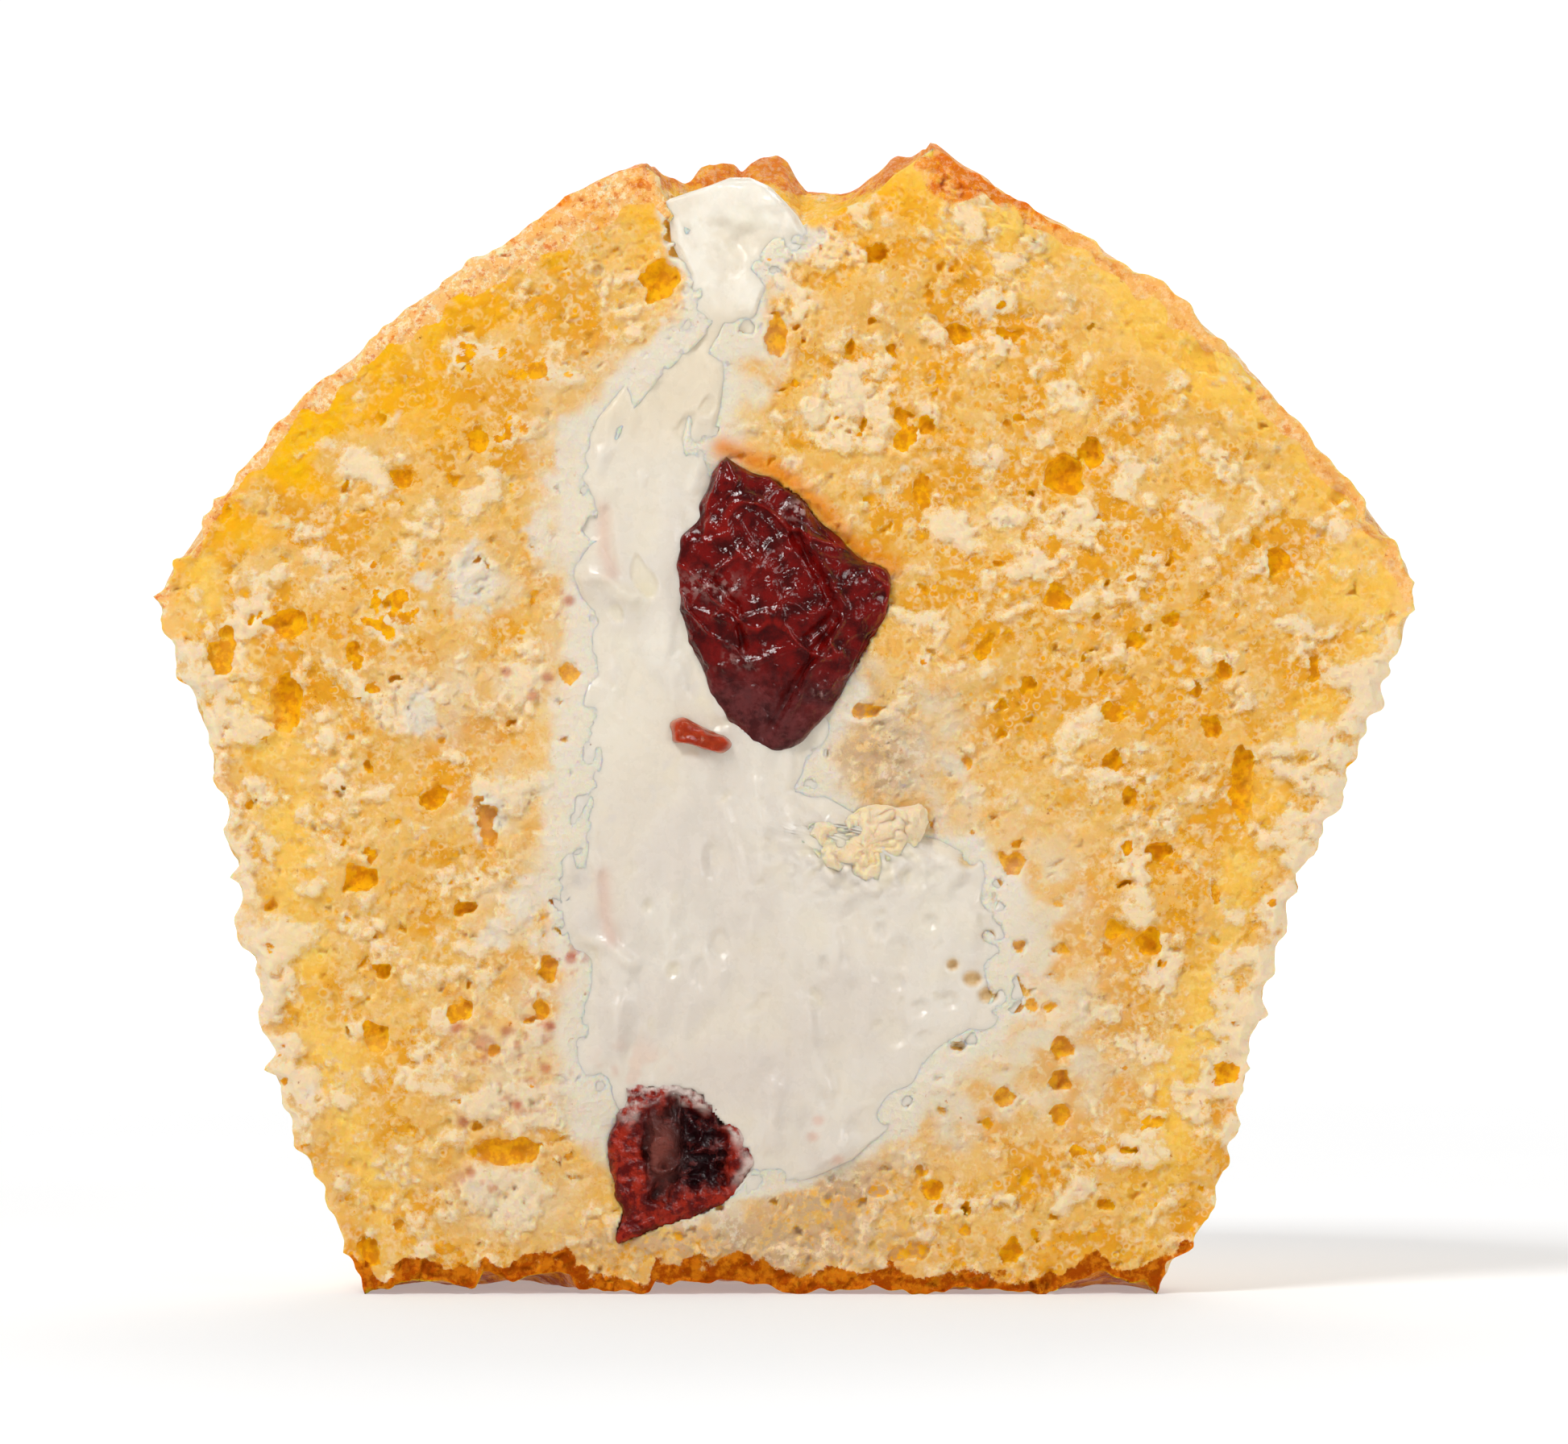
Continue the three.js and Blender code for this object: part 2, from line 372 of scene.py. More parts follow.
def away_from_line(points):
    """Distance from each point of the cut face to a bent line."""
    nearest = np.full(FACE_X.shape, 99.0)
    for (x0, z0), (x1, z1) in zip(points, points[1:]):
        run_x, run_z = x1 - x0, z1 - z0
        along = ((FACE_X - x0) * run_x + (FACE_Z - z0) * run_z) / (run_x**2 + run_z**2)
        along = np.clip(along, 0, 1)
        nearest = np.minimum(nearest, np.hypot(FACE_X - x0 - along * run_x, FACE_Z - z0 - along * run_z))
    return nearest


def stroke(points, width):
    """1 along a bent line, falling softly to 0 over its width."""
    return np.exp(-((away_from_line(points) / width) ** 2))


def most(fields):
    """The largest of several fields at each point."""
    return np.maximum.reduce(list(fields))


print(f"a dab of 1 mm covers {(dab(0, 30, 1, 1) > 0.5).sum() * PITCH**2:.1f} square mm")

# %% [markdown]
# ## The outline of the cut
# The wall flares upwards as its paper case did. Above the case the batter rose over the lip and set as a
# dome, with a torn hole where the cream went in. Both sides are drawn as smooth curves through a few points.

# %% Wall, dome and hole
WALL_LEFT = [(-23.4, 0), (-25.4, 5), (-28.2, 12), (-30.2, 21), (-31.6, 28), (-34.2, 36.5), (-LIP, 38.9)]
WALL_RIGHT = [(20.8, 0), (23.9, 5), (25.8, 12), (28, 21), (31, 28), (34.4, 36.5), (LIP, 38.9)]
DOME_LEFT = [(-LIP, 38.9), (-33.2, 41.8), (-27, 49.7), (-20.7, 55.1), (-12.3, 60.9), (-7.8, 63.1)]
DOME_RIGHT = [(LIP, 38.9), (34.2, 41.8), (27.7, 49.7), (22.5, 55.1), (13.4, 60.9), (8.4, CREST)]
HOLE_FRONT = [
    (-7.8, 63.1), (-7, 62.4), (-6.8, 61.5), (-6.3, 60.7), (-5.6, 59.9), (-4, 59.1), (-2, 58.9), (0, 59.1),
    (1, 59.6), (2.4, 60.3), (3.9, 60.8), (5.2, 61.5), (6.1, 62.4), (7, 63), (8.4, CREST),
]
HOLE_BACK = [
    (-7.8, 63.1), (-6.4, 62), (-5.2, 62.1), (-4.7, 62.8), (-4.2, 63.2), (-3.5, 63.35), (-2.8, 63.2),
    (-2.4, 62.8), (-1.9, 63.4), (-1.2, 63.75), (-0.4, 63.8), (0.2, 63.4), (0.7, 62.5), (1.3, 61.7),
    (3.2, 61.4), (4.3, 61.8), (5.4, 62.6), (6, 63.2), (7.2, 63.2), (8.4, CREST),
]


def curve_through(points, count):
    """Points at equal steps along a smooth curve through a few given points."""
    hand = np.array(points, float)
    ends = np.vstack([2 * hand[0] - hand[1], hand, 2 * hand[-1] - hand[-2]])
    t = np.linspace(0, 1, 24, endpoint=False)[:, None]
    fine = []
    for a, b, c, d in zip(ends, ends[1:], ends[2:], ends[3:]):
        bend = (2 * a - 5 * b + 4 * c - d) * t**2 + (3 * b - 3 * c + d - a) * t**3
        fine.append(0.5 * (2 * b + (c - a) * t + bend))
    fine = np.vstack([*fine, hand[-1:]])
    along = np.concatenate([[0], np.cumsum(np.linalg.norm(np.diff(fine, axis=0), axis=1))])
    steps = np.linspace(0, along[-1], count)
    return np.stack([np.interp(steps, along, fine[:, k]) for k in (0, 1)], axis=1)


def even(number):
    """The nearest even whole number, for a patch that a coarser one joins."""
    return 2 * round(number / 2)


WALL_ROWS = even(38 / CELL)
DOME_ROWS = even(30 / CELL)
ROWS = WALL_ROWS + DOME_ROWS
TURNS = round(35 / CELL)
COLUMNS = 2 * TURNS
LEFT = np.vstack([curve_through(WALL_LEFT, WALL_ROWS + 1), curve_through(DOME_LEFT, DOME_ROWS + 1)[1:]])
RIGHT = np.vstack([curve_through(WALL_RIGHT, WALL_ROWS + 1), curve_through(DOME_RIGHT, DOME_ROWS + 1)[1:]])
print(f"{ROWS} rows and {COLUMNS} columns on the cut face")

# %% Distances from the crust
toward_dome_left = away_from_line(curve_through(DOME_LEFT, 40))
toward_dome_right = away_from_line(curve_through(DOME_RIGHT, 40))
toward_dome = np.minimum(toward_dome_left, toward_dome_right)
toward_left_wall = away_from_line(curve_through(WALL_LEFT, 30))
toward_right_wall = away_from_line(curve_through(WALL_RIGHT, 30))
toward_wall = np.minimum(toward_left_wall, toward_right_wall)
toward_hole = away_from_line(HOLE_FRONT)
print(f"the cut is up to {np.minimum(toward_dome, toward_wall).max():.0f} mm from its outline")

# %% [markdown]
# ## The cream's outline
# The cream was piped in from the top, so it has a plug in the hole, a thin neck under it and a wide foot.
# Its edges are drawn as the left and the right edge at each height. Where it lies, the sponge has a pocket
# for it.

# %% Left and right edge of the cream
CREAM_LEFT = [
    (62.3, -3), (61.9, -4), (61.5, -5.2), (61, -6.6), (60, -6.4), (58.7, -6.3), (56.9, -5.4), (55.1, -5.2),
    (53.6, -6.2), (52.4, -7.4), (51.1, -8.8), (48.8, -10.6), (46.1, -11.7), (43, -12.3), (40.1, -11.9),
    (37.6, -11), (34, -11.3), (30.4, -11.8), (27.2, -12), (24.5, -12.5), (22.3, -13), (19.6, -12.3),
    (17.4, -11.3), (13.8, -12), (11.1, -11.3), (8.4, -10), (6.1, -7.8), (5.2, -5),
]
CREAM_RIGHT = [
    (62.3, -1.9), (61.8, -0.8), (60.9, 0.1), (60.1, 0.8), (59, 1.4), (57.6, 0.2), (56, -0.9),
    (53.6, -1.7), (52, -2.7), (49.7, -3.4), (47.5, -3.8), (44.3, -3.6), (40.7, 1.2), (33.5, 3.4),
    (30.4, 2.4), (28.1, 2.2), (26.3, 5), (25.4, 8.8), (24.1, 11.4), (22.3, 12.3), (20.5, 12.4),
    (18.3, 12.8), (16.5, 13.4), (15.1, 12.4), (13.8, 10.4), (11.5, 7.8), (9.3, 6.2), (7.5, 4),
    (6.1, 0.9), (5.2, -3),
]
CREAM_DEPTH = [
    (62.3, 1.4), (61, 3), (59, 3.6), (56.5, 2.8), (53.5, 2.6), (50.5, 3.5), (46.5, 5.5), (41, 8),
    (30, 10.5), (20.5, 12), (12.2, 10.5), (9, 7.5), (6.6, 4), (5.2, 1.5),
]


def at_height(table, z):
    """The value that a table of (height, value) pairs gives at a height."""
    heights, values = np.array(table[::-1]).T
    return np.interp(z, heights, values)


cream_left, cream_right = at_height(CREAM_LEFT, FACE_Z), at_height(CREAM_RIGHT, FACE_Z)
cream_top, cream_foot = CREAM_LEFT[0][0], CREAM_LEFT[-1][0]
inside_cream = np.minimum(FACE_X - cream_left, cream_right - FACE_X)
inside_cream = np.minimum(inside_cream, np.minimum(cream_top - FACE_Z, FACE_Z - cream_foot))
print(f"the cream covers {(inside_cream > 0).sum() * PITCH**2:.0f} square mm of the cut")

# %% [markdown]
# ## The outlines of the fruit
# Each fruit is drawn round its own middle. The same drawing gives its mesh later and, here, the pocket
# that it has pressed into the sponge and the cream.

# %% Fruit drawn in the cut
UPPER_CHERRY = {
    "middle": (-0.1, 38.6),
    "outline": [
        (-3.1, 8.1), (-2, 7.4), (0.6, 6.3), (2.3, 4.3), (4.1, 2.6), (5.9, 1.7), (5.9, -0.1), (4.8, -2.6),
        (3.3, -5), (1.2, -7.7), (-0.7, -8.4), (-2.2, -7.6), (-3.7, -5.6), (-5, -2.6), (-5.9, 0.5),
        (-5.8, 3.4), (-4.8, 4.7), (-4.2, 6.5),
    ],
    "front": 1.7,
    "back": 6.2,
}
LOWER_CHERRY = {
    "middle": (-5.7, 7.4),
    "outline": [
        (-3.1, 4.1), (-1.2, 4.5), (0.8, 4.1), (2.6, 2.8), (4.2, 0.6), (3.4, -1.4), (1.4, -2.8), (-1, -3.6),
        (-3.6, -4.5), (-3.4, -2.8), (-3.9, -0.6), (-4, 1.4), (-3.4, 2.8),
    ],
    "front": 0.7,
    "back": 5.2,
}


def reach_of(fruit, x, z):
    """How far out a point is on the way from the fruit's middle (0) to its outline (1)."""
    dx, dz = x - fruit["middle"][0], z - fruit["middle"][1]
    rim = curve_through([*fruit["outline"], fruit["outline"][0]], 200)[:-1]
    angle = np.arctan2(rim[:, 1], rim[:, 0])
    order = np.argsort(angle)
    radius = np.interp(np.arctan2(dz, dx), angle[order], np.hypot(*rim[order].T), period=2 * math.pi)
    return np.hypot(dx, dz) / radius


reach_upper = reach_of(UPPER_CHERRY, FACE_X, FACE_Z)
reach_lower = reach_of(LOWER_CHERRY, FACE_X, FACE_Z)
for name, reach in (("upper", reach_upper), ("lower", reach_lower)):
    print(f"the {name} cherry covers {(reach < 1).sum() * PITCH**2:.0f} square mm of the cut")

# %% [markdown]
# ## The relief of the cut sponge
# A knife does not slice a sponge cleanly: it tears it. The cut face is a rough sheet with ragged flakes
# that stand up from it, and every bubble that the sheet crosses is left as an open pore. So the relief is
# made in that order: the sheet, the flakes in steps with ragged edges, then thousands of round bubbles,
# each carved out of whatever is in front of its back wall. It is a field of heights, which is enough
# because nobody sees under a flake from in front, and it costs far fewer faces than a solid foam.

# %% Larger flakes and ledges that show
FLAKES = [
    (-30, 37.9, 1.2, 1.1), (-30.7, 33.8, 1.7, 1.9), (-27.3, 42.6, 1.2, 0.7), (-27.7, 40.3, 0.9, 0.5),
    (-25.5, 41.4, 1.3, 0.5), (-21.8, 37.9, 2, 1.4), (-17.3, 40.2, 1.6, 2), (-20.7, 32.7, 1.7, 1.6),
    (-18.3, 32.7, 2, 1.2), (-19.5, 42.6, 0.9, 0.5), (-16.8, 44.1, 1.3, 1.2), (-25.9, 30.7, 1.4, 0.8),
    (-15.8, 27.8, 1.5, 1.3), (-13.2, 51.3, 1.5, 0.8), (-16.6, 52.7, 1.4, 0.5), (-19.3, 12.4, 1.6, 1.4),
    (-14.6, 10.6, 3.6, 1.2), (-16, 5.8, 3, 1.2), (20.2, 8.1, 1.3, 1.2), (17.2, 52.8, 2, 0.8),
    (21.4, 51, 1.4, 0.6), (11.6, 55.3, 1.2, 0.5), (2.6, 48.6, 1.6, 1.6), (5.6, 51.8, 1.4, 0.7),
    (23.3, 43.9, 1.2, 1), (25.4, 43.2, 0.8, 0.9), (10.4, 34.9, 1.3, 0.8), (15.4, 29.6, 1, 0.8),
    (23.8, 40.4, 0.8, 0.6), (9.2, 43.3, 1, 0.9), (5, 4.6, 1.2, 1.6), (0.8, 2.4, 2.6, 0.9),
    (3.2, 57.8, 1.6, 0.9), (1.7, 55.6, 1.1, 0.7), (15.4, 50.4, 1, 0.6), (12, 43.2, 0.9, 0.5),
    (28.4, 37.2, 1, 0.7),
]
LEDGES = [
    [(-27, 47), (-25.7, 47.6), (-24.4, 47.4), (-23.3, 46.5), (-22.4, 45.2), (-21.4, 44.2)],
    [(-26.1, 35.7), (-24.4, 34.5), (-22.7, 33.2)],
]
GOLDEN_PLACES = [
    (-24.6, 48.9, 2.4, 1.1), (-20.1, 49.2, 2, 1.8), (-27.4, 45.7, 1.6, 0.8), (-17, 54.6, 3, 0.8),
    (-31.9, 36.6, 0.9, 1.4), (-26, 34.6, 1.2, 2), (-20, 36, 1.4, 0.8), (26.6, 27.6, 0.9, 1.6),
    (20.8, 34.6, 1.6, 1.2), (14.4, 33.4, 1.6, 1.2),
]
golden = most(dab(*place, soft=1.2) for place in GOLDEN_PLACES)
flakes = most(dab(*flake, soft=0.9) for flake in FLAKES)
ledges = most(stroke(ledge, 0.55) for ledge in LEDGES)
print(len(FLAKES), "flakes,", len(LEDGES), "ledges and", len(GOLDEN_PLACES), "golden places")

# %% The torn sheet and its flakes
near_crust = 1 - smooth(0.8, 3.6, toward_dome)
by_wall = 1 - smooth(0.5, 3.2, toward_wall + 0.9 * cloud(100, 1.6))
by_wall = by_wall * smooth(6, 12, FACE_Z) * (1 - smooth(35, 38, FACE_Z))
sheet = 0.24 * cloud(1, 9) + 0.14 * cloud(2, 3.6, 1.3)
ragged = 0.4 * cloud(3, 1.0, 1.2) + 0.3 * cloud(4, 0.5)
level = 0.46 * cloud(6, 1.6, 1.3) + ragged + 1.1 * flakes + 1.2 * ledges + 1.5 * by_wall
level -= 0.45 * golden
level -= near_crust * np.where(FACE_X < 0, 0.6, 0.25)
level += 0.16 * cloud(10, 7) - 0.05
shelf = 0.75 * cloud(7, 2.2, 1.3) + 0.8 * ragged + 0.4 * flakes + 0.4 * by_wall
shelf -= near_crust * np.where(FACE_X < 0, 0.7, 0.3)
is_flake = smooth(0.72, 0.86, level + 0.12 * cloud(5, 0.28))
is_shelf = smooth(0.1, 0.3, shelf)
relief = sheet + 0.24 * is_flake + 0.13 * is_shelf + 0.14 * smooth(1.4, 1.9, level)
relief += 0.05 * np.abs(cloud(8, 0.8)) + 0.03 * np.abs(cloud(9, 0.4))
print(f"flakes cover {is_flake.mean():.0%} of the face, shelves {is_shelf.mean():.0%}")

# %% Pores of a place of their own
BIG_PORES = [
    (15.6, 45.7, 1.2, 1.15), (6.6, 47.7, 0.85, 0.85), (-17.2, 47.7, 0.75, 0.85), (17.3, 47, 0.75, 0.8),
    (7.8, 44.8, 0.45, 1.2), (27.8, 41, 0.95, 0.8), (15.2, 38.9, 0.95, 0.9), (20.4, 19.6, 0.8, 0.8),
    (18.5, 20.3, 0.75, 0.65), (23.9, 31.7, 0.6, 0.75), (25.6, 28.4, 0.75, 2.3), (18.4, 29.8, 0.62, 0.62),
    (12.7, 24.1, 0.8, 0.75), (-27.8, 33, 1.0, 1.7), (-23.7, 23.2, 0.9, 0.9), (-22.8, 14.2, 0.85, 1),
    (-31.3, 35.9, 0.8, 1.5), (-27.7, 37.5, 1.1, 1.1), (-24.1, 31.1, 0.4, 0.35), (-21.3, 45.7, 0.6, 0.6),
    (-18.4, 45.4, 0.45, 0.5), (-22.6, 48.8, 0.38, 0.38), (-27.9, 42.9, 0.45, 0.35), (-13.9, 38.7, 0.3, 0.9),
    (-13.9, 41.7, 0.25, 0.7), (-24.8, 28, 0.35, 0.5), (-16, 13.6, 0.7, 0.4), (-18.5, 10.9, 1, 0.35),
    (-19.5, 5.8, 0.5, 0.5), (-21.5, 4, 0.45, 0.4), (-15.6, 8, 2.2, 0.8), (-12.2, 8.6, 1, 0.25),
    (10.2, 29.6, 0.42, 0.55), (13.2, 17, 0.5, 0.6), (11.4, 16.6, 0.55, 0.4), (14.9, 16, 0.6, 0.4),
    (9.6, 13.8, 0.36, 0.36), (8.6, 12, 0.36, 0.34), (15.5, 13.7, 0.7, 0.7), (12.3, 10.9, 0.65, 0.65),
    (15.5, 10.1, 0.6, 0.6), (11.3, 9.5, 0.45, 0.45), (9.3, 18.3, 0.32, 0.32), (10.4, 17.4, 0.6, 0.5),
    (11.7, 22, 0.36, 0.42), (11.7, 20.3, 0.45, 0.5), (19.1, 12.5, 0.55, 0.45), (20.3, 9.5, 1.2, 0.5),
    (16.8, 8, 0.9, 0.5), (13.5, 6.5, 0.5, 0.5), (18, 4.9, 0.42, 0.4), (14.1, 3.4, 0.5, 0.4),
    (10.1, 3.8, 0.45, 0.45), (5.2, 5.8, 1, 0.5), (8.2, 5.8, 0.8, 0.45), (-6.9, 56.6, 1.1, 1.2),
    (-0.4, 53.4, 0.6, 1.5), (24.4, 35, 0.6, 0.5), (29.6, 35, 0.5, 0.9), (11, 36, 0.6, 0.6),
    (12.6, 53.6, 0.9, 0.35), (8.5, 51, 0.9, 0.4), (4.4, 48.5, 0.4, 0.5), (21.6, 37.6, 0.55, 0.5),
]
print(len(BIG_PORES), "pores of their own")

# %% Bubbles
FACE_AREA = len(GRID_X) * len(GRID_Z) * PITCH**2
bend_x = FACE_X + 0.1 * cloud(11, 0.8) + 0.05 * cloud(12, 0.4)
bend_z = FACE_Z + 0.1 * cloud(13, 0.8) + 0.05 * cloud(14, 0.4)


def open_pore(x, z, half_x, half_z, sink, depth):
    """Carves one bubble. Its middle is sink radii behind the relief at that point."""
    radius = min(half_x, half_z)
    rows = slice(*np.searchsorted(GRID_Z, (z - half_z - 0.4, z + half_z + 0.4)))
    columns = slice(*np.searchsorted(GRID_X, (x - half_x - 0.4, x + half_x + 0.4)))
    part = relief[rows, columns]
    if part.size == 0:
        return
    middle_height = part[part.shape[0] // 2, part.shape[1] // 2] - sink * radius
    across = ((bend_x[rows, columns] - x) / half_x) ** 2 + ((bend_z[rows, columns] - z) / half_z) ** 2
    bow = radius * np.sqrt(np.clip(1 - across, 0, 1))
    hit = (across < 1) & (part < middle_height + bow) & (part > middle_height - depth * bow)
    part[hit] = (middle_height - depth * bow)[hit]


def open_bubbles(seed, per_square_mm, small, large, shallow, deep, depth):
    """Carves random bubbles all over the face."""
    rng = np.random.default_rng(seed)
    count = int(FACE_AREA * per_square_mm)
    for x, z, radius, squash, sink in zip(
        rng.uniform(GRID_X[0], GRID_X[-1], count),
        rng.uniform(GRID_Z[0], GRID_Z[-1], count),
        small + (large - small) * rng.random(count) ** 2.2,
        rng.uniform(0.78, 1.25, count),
        rng.uniform(shallow, deep, count),
    ):
        open_pore(x, z, radius * squash, radius / squash, sink, depth)
    return count


opened = open_bubbles(23, 1.4, 0.16, 0.34, -0.1, 0.4, 0.35)
below_plug = 1 - smooth(52.5, 56, FACE_Z + 0.8 * cloud(49, 2))
by_cream = smooth(-2.6, -0.2, inside_cream) * below_plug
wet_through = most([dab(12.6, 20, 4.6, 6), dab(12.6, 13.4, 4.6, 4), by_cream])
relief += (blur(relief, 0.8) - relief) * 0.85 * wet_through
whole = relief.copy()
for x, z, half_x, half_z in BIG_PORES:
    open_pore(x, z, half_x, half_z, 0.1, 0.75)
opened += open_bubbles(21, 0.03, 0.4, 0.85, 0.1, 0.5, 0.6)
opened += open_bubbles(22, 0.27, 0.15, 0.38, 0.0, 0.6, 0.8)
relief = np.clip(relief, -3.2, 0.8)
carved = whole - relief
print(f"{opened} bubbles; the relief runs from {relief.min():.1f} to {relief.max():.1f} mm")

# %% [markdown]
# ## What the face is like from place to place
# Colour follows a few maps. Depth turns the sponge from pale flake to amber pore, which is painted light:
# painted light on raised flakes and a painted glow in pores. Other maps say where it is soaked with cream,
# wet with juice, stained, rich and yellow under the crust, or toasted.

# %% How deep each pore is, and how warm the sponge is round it
# Painted glow: deeper pores are painted amber. Warmth is raised round each pore as more painted glow. It also
# rises towards the right and in the golden places, falls towards the top and varies at random.
hollow = smooth(0.02, 0.5, carved)
warm = 0.45 + 0.2 * smooth(-6, 14, FACE_X) - 0.12 * smooth(50, 60, FACE_Z)
warm += 0.18 * cloud(15, 5) + 0.24 * cloud(16, 2.2)
warm += 0.6 * blur(hollow, 0.5) + 0.8 * golden
print(f"pores cover {(hollow > 0.5).mean():.0%} of the face")

# %% Places where the sponge is soaked, wet or stained
SOAKED = [
    (12.2, 20.3, 4.6, 5.6), (13, 13.6, 5.2, 4.2), (8.6, 10.4, 4, 3), (-16.9, 40, 2.4, 2.2),
    (-18.6, 33.2, 3.6, 2.4), (-15, 27.4, 2.2, 2.6), (-15.2, 21.4, 2, 2), (-12.8, 46.4, 1.4, 4),
    (-14, 13.2, 4.2, 5), (-15.4, 5.6, 3.4, 2), (-12.2, 34, 1.8, 3), (-13, 24, 1.6, 4), (8, 29, 3, 4.6),
    (4, 9, 3, 3), (-5, 53, 2.4, 2.4), (-10, 50.4, 3.4, 2.2), (-12.6, 39.6, 1.4, 3), (13.4, 17.4, 4, 6),
]
MILKY = [
    (-17.1, 39.8, 1.3, 2), (-20.1, 39.9, 0.6, 0.6), (-13.6, 42.6, 0.8, 1.6), (-14.4, 22, 1, 1.3),
    (-20.3, 32.6, 1, 1.5), (-16.6, 26.6, 1, 1.4), (-12.2, 47.2, 0.6, 2), (-12.2, 32.8, 1, 1.2),
    (-12.9, 28, 0.6, 1.6), (-16.4, 20, 1, 0.8),
]
WET = [(4.9, 29.8, 3.1, 2.2), (2.4, 6, 3.6, 3), (-2, 2.9, 9, 1.7), (3.4, 33.5, 2, 1.6)]
SPECKLED = [
    (-15.3, 13, 3.6, 3.4), (1.6, 8.6, 1.1, 2.4), (-16.6, 6.4, 2, 1.4), (-12.4, 38.6, 1, 1),
    (-12, 18.6, 1.2, 1),
]
SPOTS = [
    (-15.5, 14.7), (-18.3, 14.9), (-13.1, 14.9), (-15, 10.6), (-17.5, 6.8), (-17.9, 9.6), (1.9, 9.7),
    (3, 7.5), (1.6, 8.8), (-12, 38.7), (-11.9, 18.7), (-15.5, 34.7), (-13.2, 34.4), (-14, 33.4),
    (-13.3, 12.6),
]
JUICE = [(-3.4, 47.2), (-0.6, 46), (1.8, 44.1), (3.9, 41.6), (5.9, 40.4)]
print(len(SOAKED), "soaked,", len(MILKY), "milky and", len(WET), "wet places")

# %% Soaked, milky and wet crumb
soak = most(dab(*place, soft=1.3) for place in SOAKED)
soak_from = np.where(FACE_X < -4, -2, -3.2)
soaked_rim = 1.1 * smooth(soak_from, -0.4, inside_cream + 0.5 * cloud(37, 1.6))
soak = np.maximum(soak, soaked_rim * (0.1 + 0.9 * below_plug))
soak = np.clip(soak * (0.72 + 0.4 * np.clip(cloud(31, 1.3), -1, 1)), 0, 1)
soak = soak * (0.62 + 0.38 * smooth(-10, -7, FACE_X))
milk = most(dab(*place, soft=1.6) for place in MILKY) + 0.16 * cloud(29, 0.8) + 0.1 * cloud(30, 0.35)
milk_from = -1.9 + 1.2 * (1 - below_plug)
milky_rim = smooth(milk_from, -0.1, inside_cream + 0.35 * cloud(44, 1.3))
milk = np.maximum(0.85 * smooth(0.4, 0.8, milk), milky_rim)
milk = np.maximum(milk, 0.2 * (1 - smooth(0.2, 1.7, toward_wall)) * smooth(6, 12, FACE_Z))
wet = most(dab(*place, soft=1.5) for place in WET) * (1 - 0.8 * milk)
print(f"soaked {soak.mean():.0%}, milky {milk.mean():.0%}, wet {wet.mean():.0%} of the face")

# %% Stains and juice from the fruit
speckles = smooth(0.9, 1.5, cloud(32, 0.5) + 0.4 * cloud(33, 0.25))
speckled = most(dab(*place, soft=1.2) for place in SPECKLED) * speckles
spots = most(dab(x, z, 0.32, 0.28) for x, z in SPOTS)
stain = np.clip(0.6 * speckled + 0.8 * spots, 0, 1)
juice = stroke(JUICE, 0.65)
print(f"stained {stain.mean():.1%}, orange with juice {juice.mean():.1%} of the face")

# %% Rich and yellow under the crust
gold = 1 - smooth(1.4, 4.2, toward_dome_left + 0.9 * cloud(34, 2.2) + 1.5 * smooth(-20, -12, FACE_X))
gold *= 0.45 + 0.55 * smooth(-33, -28, FACE_X)
gold = np.maximum(gold, 0.5 * golden * (FACE_Z > 44))
by_hole = 1 - smooth(0.5, 4, toward_hole + 0.6 * cloud(38, 2))
gold = np.maximum(gold, by_hole * np.where(FACE_X < -4, 0.85, 0.6))
lemon = 0.75 * (1 - smooth(0.8, 5.5, toward_dome_right + 1.2 * cloud(35, 2.4)))
lemon_by_wall = 0.75 * (1 - smooth(1.5, 6, toward_wall + 1.2 * cloud(36, 2.6))) * smooth(1, 3, toward_wall)
lemon = np.maximum(lemon, lemon_by_wall)
print(f"golden {gold.mean():.0%}, lemon {lemon.mean():.0%} of the face")

# %% Toasted crust
band_left = 0.42 + 0.6 * smooth(-32, -24, FACE_X) + 1.0 * smooth(-20, -13, FACE_X)
band = np.where(FACE_X < 0, band_left, 0.75 + 0.4 * smooth(16, 10, FACE_X))
toast = 1 - smooth(0.8, 1.15, (toward_dome + 0.3 * cloud(39, 1.4)) / band)
toast = np.maximum(toast, (1 - smooth(0.3, 0.8, toward_hole + 0.25 * cloud(40, 0.9))) * (FACE_X < -5.6))
toast = np.maximum(toast, dab(9.6, 62.4, 1.8, 1.5, 0.6))
darker = np.where(FACE_X < 0, 0.2, 0.75)
bake = 0.15 + smooth(57, 61.5, FACE_Z) * (darker + 0.25 * cloud(43, 1.5))
print(f"the crust is {toast.mean():.1%} of the face")

# %% Scorched foot
BASE_EDGE = [
    (-24.2, 1), (-22.8, 0.2), (-19.5, 0.8), (-17.2, 0.3), (-16.7, 1.2), (-15.1, 0.7), (-13.3, 1.2),
    (-11.9, 1.2), (-11.5, 0.4), (-10.1, 0.1), (-7.5, 0), (-7.1, 0.8), (-4.6, 0.5), (-3.5, 0.8),
    (-0.3, 0.35), (0.6, 0), (5, 0.3), (8, 0.1), (11, 0.35), (14.5, 0), (17.5, 1.2), (19.8, 0.7),
    (20.8, 1),
]
above_foot = FACE_Z - np.interp(FACE_X, *zip(*BASE_EDGE))
scorch = 1 - smooth(0.7, 1.4, above_foot + 0.3 * cloud(41, 1.6) + 0.12 * cloud(42, 0.6))
print(f"the scorched foot is {scorch.mean():.1%} of the face")

